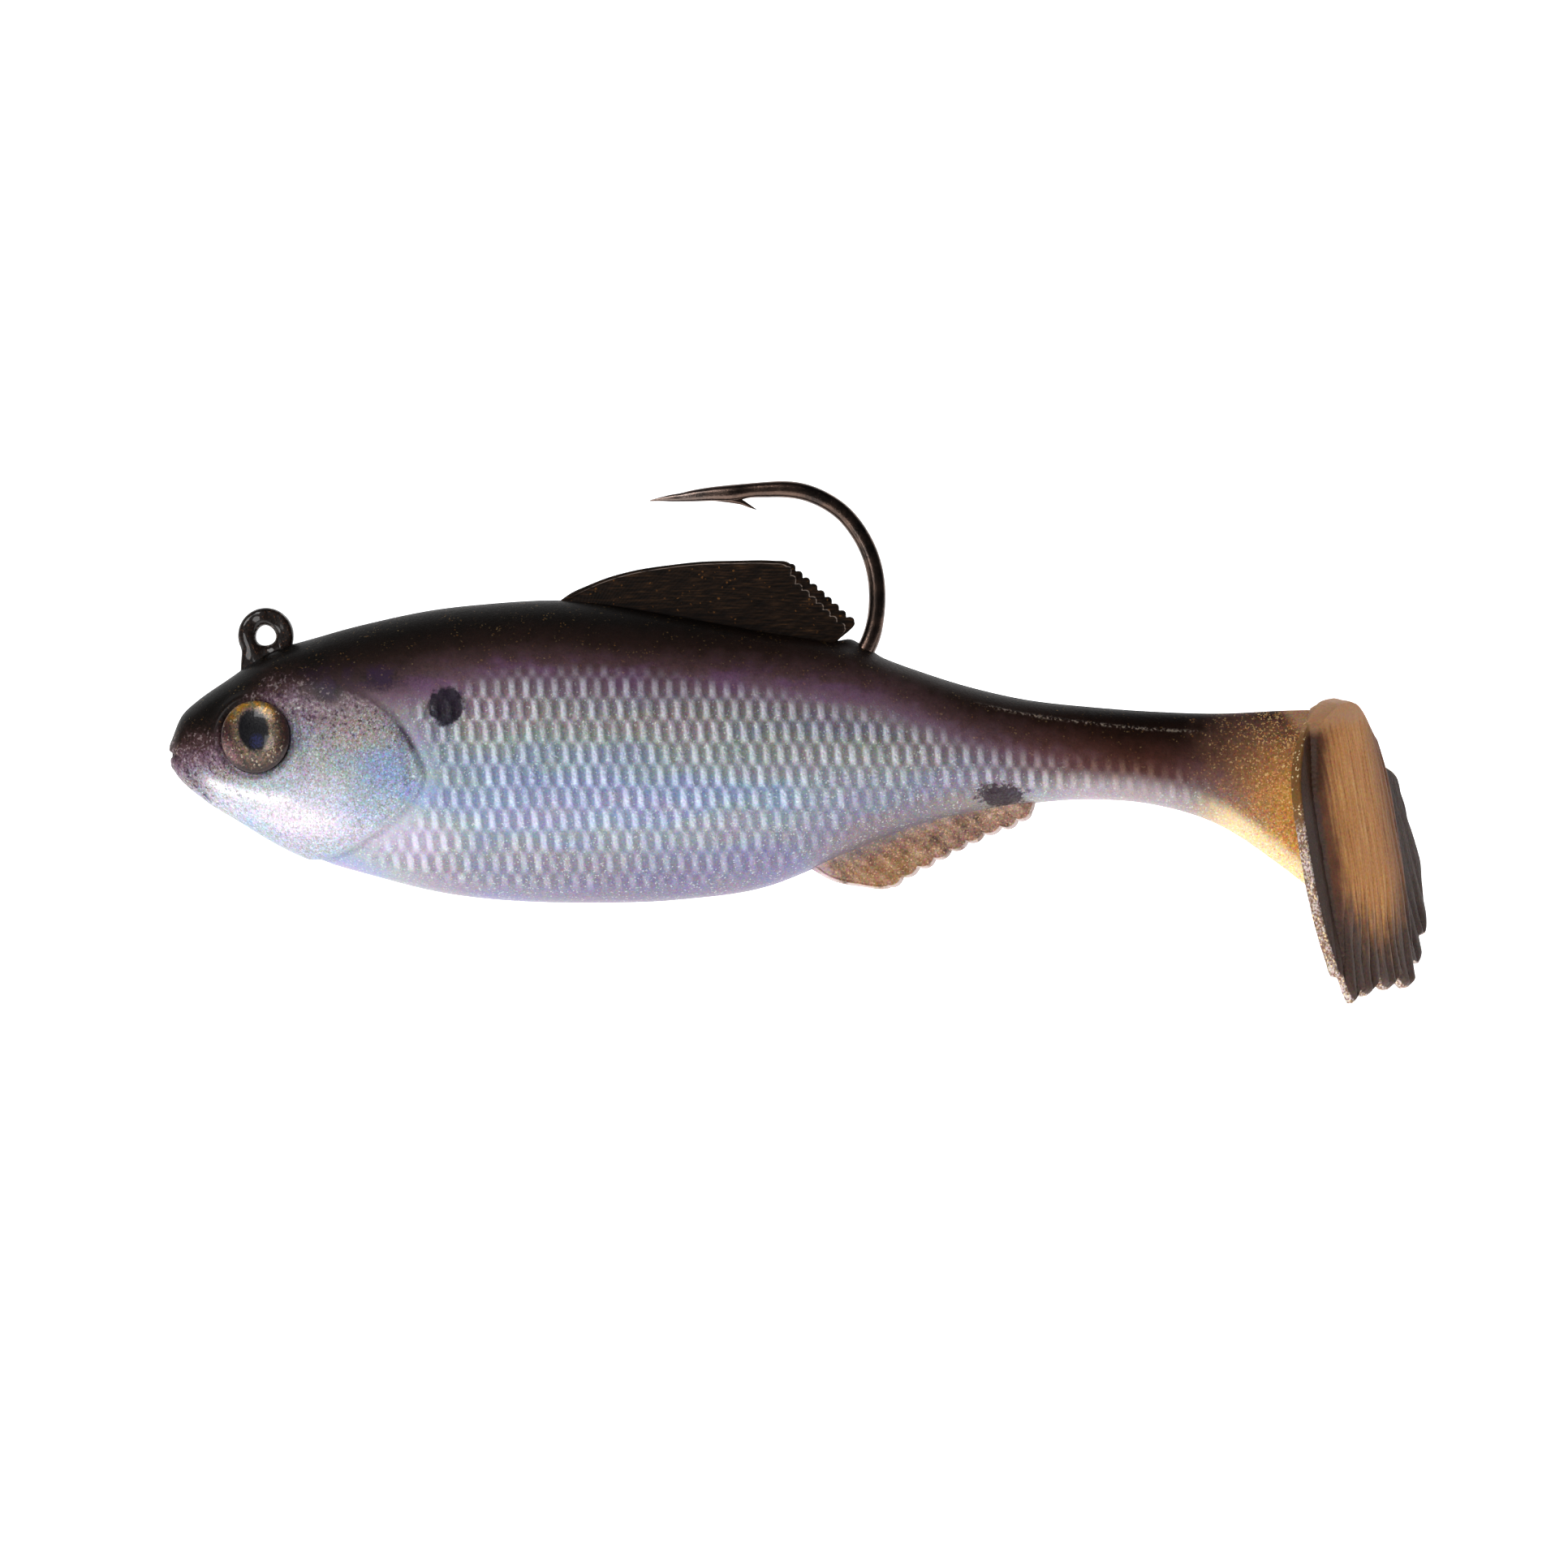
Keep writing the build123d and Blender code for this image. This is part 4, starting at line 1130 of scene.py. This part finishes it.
def scalloped(edge, start, end, lobes, depth):
    """A traced edge with round scallops over a share of its length."""
    share = np.linspace(0, 1, len(edge))
    way = np.gradient(edge, axis=0)
    way /= np.linalg.norm(way, axis=1, keepdims=True)
    out = np.stack([-way[:, 1], way[:, 0]], axis=1)
    along = (share - start) / (end - start)
    there = smooth(along, 0, 0.02) * (1 - smooth(along, 0.98, 1))
    swell = (np.abs(np.sin(math.pi * lobes * along)) ** 0.7 - 0.5) * depth * there
    return edge + out * swell[:, None]


def dorsal_finish():
    """Black-brown plastic with fine rays, painted shadow along its root, a painted highlight along the bead
    inside its edge and a few gold flecks.
    """
    fin = Finish("dorsal_fin_plastic", IOR=1.4, Specular_IOR_Level=0.1)
    place = fin.place()
    share, rise, inside = fin.split(fin.place("web"))
    streak = fin.noise(fin.stretched(place, (0.4, 1.0, 3.2)), 1.9, 4.0)
    glint = fin.split(fin.cells(place, 7.5))[0]
    colour = fin.ramp(streak, 0.3, 0.8, [
        (0.3, tint(11, 7, 5)), (0.5, tint(27, 18, 12)), (0.64, tint(46, 31, 20)), (0.8, tint(78, 54, 33))])
    # Painted shadow where the fin meets the back.
    colour = fin.mix(rise.between(0.35, 0.1) * 0.7, colour, tint(14, 9, 8))
    # Painted highlight along the bead that runs inside the edge.
    line = inside.between(-0.075, -0.01) * inside.between(0.075, 0.01)
    line = line * share.between(0.02, 0.2) * share.between(0.97, 0.93)
    colour = fin.mix(line * streak.between(0.3, 0.55) * 0.7, colour, tint(150, 134, 124))
    colour = fin.mix(glint.between(0.985, 0.998) * 0.5, colour, tint(128, 84, 42))
    fin.set("Base_Color", colour)
    fin.set("Roughness", 0.42 + streak * 0.16)
    fin.bump(streak, 0.05)
    return fin


def anal_finish():
    """Clear copper plastic full of fine glitter, with faint slanting rays and a silvery edge."""
    fin = Finish("anal_fin_plastic", Coat_Weight=0.35, Coat_Roughness=0.12, IOR=1.45)
    place = fin.place()
    share, rise, inside = fin.split(fin.place("web"))
    ray = (share * 17.0 + fin.noise(place, 0.5, 2.0) * 0.8).wave()
    cloud, fine = fin.noise(place, 0.8, 3.0), fin.noise(place, 5.5, 3.0)
    grain = fin.cells(place, 9.0)
    glint, cool, _ = fin.split(grain)
    colour = fin.ramp(cloud + (ray - 0.5) * 0.1 + (fine - 0.5) * 0.8, 0.2, 0.85, [
        (0.2, tint(84, 58, 50)), (0.4, tint(134, 98, 80)), (0.6, tint(166, 128, 104)),
        (0.85, tint(206, 174, 150))])
    amber = share.between(0.12, 0.3) * share.between(0.62, 0.4) * rise.between(0.35, 0.7)
    colour = fin.mix(amber * 0.4, colour, tint(176, 124, 62))
    root = (rise + (fine - 0.5) * 0.3).between(0.45, 0.12)
    colour = fin.mix(root * 0.75, colour, tint(150, 138, 142))
    colour = fin.mix(share.between(0.16, 0.04) * 0.7, colour, tint(196, 166, 176))
    colour = fin.mix(0.4, colour, grain, "SOFT_LIGHT")
    colour = fin.mix(glint.between(0.9, 0.97) * 0.5, colour, tint(236, 202, 160))
    edge = inside.between(-0.02, -0.14) * inside.between(-0.36, -0.26)
    colour = fin.mix(edge * cloud.between(0.3, 0.5) * 0.8, colour, tint(214, 198, 196))
    colour = fin.mix(inside.between(-0.27, -0.35) * 0.6, colour, tint(96, 76, 76))
    fin.set("Base_Color", colour)
    fin.set("Metallic", glint * 0.3)
    fin.set("Roughness", 0.36 + cool * 0.14)
    fin.bump(ray * 0.25 + fine * 0.6 + glint * 0.2, 0.06)
    return fin


def place_fin(name, skin, marks, finish, node, joint):
    """A fin's skin in its material, in place of the frame's fin."""
    points, faces = tube(skin)
    piece = dress(name, points, faces, finish, {"web": marks}, sharp_from=55)
    up, at = np.cross(hinges[joint]["axis"], [0, 1, 0]), hinge_point(joint)
    up = up * np.sign(up[2])
    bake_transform(piece)
    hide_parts(node)


def make_fins():
    """Dorsal fin on the back and anal fin under the stalk's root."""
    top = traced([(23.75, 2.75), (24.82, 3.49), (26.14, 4.09), (27.46, 4.62), (30.1, 5.34), (32.73, 5.74),
                  (35.37, 6.02), (38.01, 6.1), (41.3, 6.1), (42.35, 6.0), (43.28, 5.15), (44.6, 4.02),
                  (45.92, 2.82), (47.2, 1.6), (47.85, 1.0), (47.4, 0.4), (46.4, -0.2)], 700)
    top = scalloped(top, 0.68, 0.93, 9, 0.34)
    root = traced([(24.3, 1.6), (33, 0.6), (40.8, -1.0), (45.8, -1.8)], 200)
    skin, marks = fin_skin(top, root, [(0, 0), (0.4, 0.24), (0.72, 0.6), (1, 1)], (0.95, 0.34), 64, 0.008,
                           [(0, 0.38), (0.69, 0.38), (0.74, 0.85), (1, 0.95)])
    place_fin("dorsal_fin_skin", skin, marks, dorsal_finish(), "dorsal_fin", "dorsal_flex")
    under = traced([(44.2, -18.9), (46.0, -19.9), (48.4, -20.4), (50.7, -20.5), (51.9, -19.75), (53.0, -19.1),
                    (54.2, -18.5), (55.5, -17.75), (57.1, -16.95), (59.0, -16.05), (61.1, -15.25),
                    (62.3, -14.3), (62.6, -13.2)], 700)
    under = scalloped(under, 0.32, 0.95, 9, -0.34)
    root = traced([(44.6, -17.6), (47.7, -16.4), (52.2, -14.7), (56.8, -13.5), (62.0, -13.0)], 200)
    skin, marks = fin_skin(under, root, [(0, 0), (0.3, 0.1), (0.65, 0.52), (1, 1)], (0.85, 0.24), 17, 0.012,
                           [(0, 0.35), (1, 0.35)])
    place_fin("anal_fin_skin", skin, marks, anal_finish(), "anal_fin", "anal_flex")


# ---- paddle -------------------------------------------------------------------------------------
KICK_AT_REST = math.radians(37)
# The outline, as (across, up) from the hub, from its top round the far edge, the lobes along the
# bottom and the near edge.
PADDLE_TOP = [(0.5, 8.95), (1.4, 8.2), (2.3, 7.2), (3.5, 5.9), (4.5, 4.6), (5.2, 3.2), (6.9, 1.9),
              (7.3, 0.2), (7.5, -1.5), (8.1, -3.6), (8.4, -5.3), (8.1, -6.8), (7.9, -8.3), (7.9, -9.7),
              (7.3, -11.0)]
PADDLE_LOBES = [(6.2, -11.2), (6.2, -12.6), (5.4, -13.3), (4.5, -13.1), (4.2, -14.4), (3.3, -15.0),
                (2.2, -14.8), (1.5, -13.8), (0.9, -14.5), (-0.1, -14.8), (-1.0, -14.4), (-1.5, -13.3),
                (-2.3, -14.3), (-3.3, -14.9), (-4.3, -14.6), (-4.7, -14.0), (-5.4, -15.1), (-6.1, -14.5),
                (-6.5, -13.0), (-7.2, -12.7), (-7.5, -11.6)]
PADDLE_NEAR = [(-8.1, -9.2), (-8.45, -6.9), (-8.6, -4.0), (-8.6, -1.1), (-8.5, 1.4), (-8.0, 3.7), (-7.2, 5.2),
               (-6.0, 6.9), (-4.1, 8.4), (-2.2, 9.15), (-0.7, 9.25)]
PADDLE_CENTRE = np.array([-0.8, -3.2])
PADDLE_SPOKES = 480
PADDLE_RINGS = 62
PLEAT_FOCUS = 33.0  # the pleats fan out from a point this far above the hub
PLEAT_PITCH = 1.07
MARGIN = 0.95  # height of the margins' rear over the hinge
THIN_EDGE = 0.5  # how far in from the outline the relief fades out


def paddle_outline():
    """The outline's reach along each spoke from the paddle's centre."""
    corners = np.array(PADDLE_TOP + PADDLE_LOBES + PADDLE_NEAR) - PADDLE_CENTRE
    turn = np.unwrap(np.arctan2(corners[:, 0], corners[:, 1]))
    reach = np.hypot(corners[:, 0], corners[:, 1])
    order = np.argsort(turn)
    turn, reach = turn[order], reach[order]
    turn = np.concatenate([turn[-3:] - 2 * math.pi, turn, turn[:3] + 2 * math.pi])
    reach = np.concatenate([reach[-3:], reach, reach[:3]])
    spokes = np.linspace(turn[3], turn[3] + 2 * math.pi, PADDLE_SPOKES + 1)[:-1]
    soft = through(turn, reach, spokes)
    crisp = np.interp(spokes, turn, reach)
    bearing = (spokes + math.pi) % (2 * math.pi) - math.pi  # 0 is up and the far side is positive
    frilled = smooth(bearing, 0.05, 0.15) * (1 - smooth(bearing, 1.2, 1.4))
    frill = 0.2 * (np.abs(np.sin(bearing * 8.5)) - 0.6) * frilled
    return spokes, 0.5 * soft + 0.5 * crisp + frill


def paddle_faces(across, up, near_edge):
    """Heights of the paddle's rear and front faces over its hinge, and its core and pleats."""
    far_side = smooth(up, -1, 4)
    middle = -0.95 + 0.05 * far_side
    width = 5.6 - 1.3 * smooth(up, 1, 8) - 0.4 * smooth(-up, 6, 15)
    core = np.sqrt(np.clip(1 - ((across - middle) / width) ** 2, 0, 1))
    fan = across * (PLEAT_FOCUS + 10) / (PLEAT_FOCUS - up) / PLEAT_PITCH
    wobble = 0.09 * np.sin(up * 0.55 + across) + 0.05 * np.sin(up * 1.3 + 2.1 * across)
    pleat = np.abs(np.cos(math.pi * (fan + wobble))) ** 0.7
    low = smooth(-up, 4, 13)
    outer = smooth(across, 1.5, 4)
    depth = (0.04 + 0.26 * low + 0.12 * outer) * smooth(-up, -9, -4)
    depth = depth * (0.75 + 0.35 * np.sin(1.9 * across + 0.6))
    near_rim = 1 - smooth(across, -7.2, -6.2)
    margin = MARGIN + 0.1 * near_rim
    off_core = (0.25 + 0.75 * low) * (core <= 0)
    rear = margin + 1.25 * core ** 0.6 * (1 - 0.55 * low) + depth * (pleat - 0.5) * ((core > 0) + off_core)
    rib = np.exp(-((across / 1.25) ** 4)) * (1 - smooth(-up, 3.5, 8.5))
    flat = 0.3 - 0.22 * near_rim
    front = flat - 1.75 * rib - 0.3 * hump(across, 3.2) * (1 - smooth(-up, 4, 12))
    front = front + 0.4 * depth * (pleat - 0.5)
    relief = smooth(near_edge, 0.0, THIN_EDGE)
    return margin + (rear - margin) * relief, flat + (front - flat) * relief, core, pleat


def make_paddle(finish):
    """The tail's paddle, with a raised pleated core behind and thin dark margins."""
    up_way = np.array(hinges["paddle_kick"]["axis"])
    to_rear, to_right = np.cross([0, 1, 0], up_way), np.array([0, 1, 0])
    out_way = math.cos(KICK_AT_REST) * to_rear - math.sin(KICK_AT_REST) * to_right
    across_way = math.sin(KICK_AT_REST) * to_rear + math.cos(KICK_AT_REST) * to_right
    spokes, reach = paddle_outline()
    share = np.linspace(0, 1, PADDLE_RINGS + 1)[1:] ** 0.85
    far = share[:, None] * reach[None, :]
    across = PADDLE_CENTRE[0] + far * np.sin(spokes)
    up = PADDLE_CENTRE[1] + far * np.cos(spokes)
    near_edge = reach[None, :] - far
    rear, front, core, pleat = paddle_faces(across, up, near_edge)
    soften = 0.1 * (1 - np.clip(near_edge / 0.16, 0, 1))
    rear, front = rear - soften, front + soften
    across, up, core, near_edge, pleat = (np.concatenate([part, part[::-1]])
                                          for part in (across, up, core, near_edge, pleat))
    height = np.concatenate([rear, front[::-1]])
    rear_side = np.concatenate([np.ones_like(rear), np.zeros_like(front)])
    rings = paddle_hinge + across[..., None] * across_way + up[..., None] * up_way
    points, faces = tube(rings + height[..., None] * out_way)
    marks = {
        "fan": at_points(np.stack([across, up, height], axis=-1)),
        "shape": at_points(np.stack([core, near_edge, rear_side], axis=-1)),
        "pleat": at_points(pleat),
    }
    piece = dress("paddle_skin", points, faces, finish, marks, sharp_from=48)
    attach(piece, "paddle")
    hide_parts("paddle_tail")


def paddle_finish():
    """Tan core between grey-brown margins, a glittering edge and a gold front, with painted shade in the
    pleats' grooves, on the core's near wall, in the upper near margin and towards the core's far side.
    """
    tail = Finish("paddle_plastic", Coat_Weight=0.05, Coat_Roughness=0.2, IOR=1.42,
                  Specular_IOR_Level=0.2)
    place = tail.place()
    across, up, _ = tail.split(tail.place("fan"))
    core, inside, rear = tail.split(tail.place("shape"))
    pleat = tail.read("pleat")
    cloud = tail.noise(place, 0.8, 3.0)
    streak = tail.noise(tail.stretched(tail.place("fan"), (3.6, 0.2, 0.5)), 1.0, 5.0)
    speck = tail.noise(place, 5.0, 3.0)
    grain = tail.cells(place, 7.0)
    glint, warm, _ = tail.split(grain)
    wander = (cloud - 0.5) * 0.6 + (streak - 0.5) * 0.9
    tan = tail.ramp(streak + (speck - 0.5) * 0.5, 0.2, 0.8, [
        (0.2, tint(142, 84, 42)), (0.4, tint(190, 126, 70)), (0.6, tint(206, 146, 86)),
        (0.8, tint(218, 168, 112))])
    brown = tail.mix(cloud, tint(92, 58, 42), tint(126, 82, 60))
    grey = tail.mix((cloud + speck) * 0.5, tint(50, 39, 36), tint(96, 80, 74))
    shade = tail.mix(speck, tint(44, 26, 18), tint(84, 54, 36))
    low = (up + wander * 6.0 + abs(across + 0.8) * -0.55).between(-7.0, -13.6)
    # Painted shade: the tan core dims towards the far side.
    fading = (across + wander * 2.5 - low * 2.0).between(4.0, -0.6)
    middle = (core + wander * 0.4).between(0.35, 0.9) * (0.25 + fading * 0.75)
    colour = tail.mix(middle * (1 - low * 0.5), brown, tan)
    margin = tail.larger(low * 0.94, (core + wander * 0.25).between(0.3, 0.04))
    # Painted shadow in the gap between the web and the core, on the upper near margin.
    upper = (up + wander * 2.0).between(0.8, 3.2) * across.between(2.0, 0.0)
    colour = tail.mix(margin, colour, tail.mix(upper, grey, shade))
    # Painted shade on the core's near wall.
    near_wall_shade = (core + wander * 0.2).between(0.62, 0.2) * across.between(-2.0, -4.0)
    colour = tail.mix(near_wall_shade * (0.35 + upper * 0.6), colour, shade)
    # Painted shade in the pleats' grooves, deeper low down and on the far side.
    groove_shade_weight = 0.1 + up.between(-6.0, -11.0) * 0.6 + across.between(2.0, 4.5) * 0.35
    groove_shade = pleat.between(0.45, 0.05) * groove_shade_weight
    colour = tail.mix(groove_shade, colour, tint(48, 30, 24))
    topped = (up + wander).between(6.3, 7.8)
    colour = tail.mix(topped, colour, tint(190, 140, 100))
    gold = tail.ramp(cloud + (speck - 0.5) * 0.5, 0.25, 0.75, [
        (0.25, tint(92, 62, 40)), (0.5, tint(146, 106, 64)), (0.75, tint(184, 146, 96))])
    colour = tail.mix(rear, gold, colour)
    rim = (inside + (speck - 0.5) * 0.2).between(0.2, 0.06) * (1 - topped)
    silver = tail.mix((speck + cloud * 0.5).between(0.55, 0.85), tint(222, 206, 200), tint(128, 96, 78))
    shaded = tail.mix((up + wander * 3.0).between(-2.0, 1.6), silver, tint(128, 88, 48))
    colour = tail.mix(rim * 0.95, colour, shaded)
    colour = tail.mix(0.2, colour, grain, "SOFT_LIGHT")
    sparkle = glint.between(0.9, 0.97) * tail.larger(rim, (1 - rear) * 0.7)
    colour = tail.mix(sparkle * 0.8, colour, tint(250, 226, 176))
    tail.set("Base_Color", colour)
    tail.set("Metallic", tail.larger(rim, (1 - rear) * 0.6) * 0.35)
    tail.set("Roughness", 0.5 + warm * 0.12 - rim * 0.1)
    tail.bump(streak * 0.6 + speck * 0.5, 0.1)
    return tail


def dress_frame_parts():
    """Finishes for the frame's own parts that are cast inside."""
    foil = foil_finish()
    finishes = {"lead_head": lead_finish(), "eye_foil_left": foil, "eye_foil_right": foil,
                "flash_foil_left": foil, "flash_foil_right": foil}
    for name, finish in finishes.items():
        materials = frame["nodes"][name].data.materials
        materials.clear()
        materials.append(finish.material)


aim = set_camera()
make_backdrop(aim)
light_studio(aim)
make_body(body_finish())
eye_look = eye_finish()
for side in (LEFT, RIGHT):
    make_eye(side, eye_look)
make_line_tie(tie_finish())
make_hook(hook_finish())
make_fins()
make_paddle(paddle_finish())
dress_frame_parts()
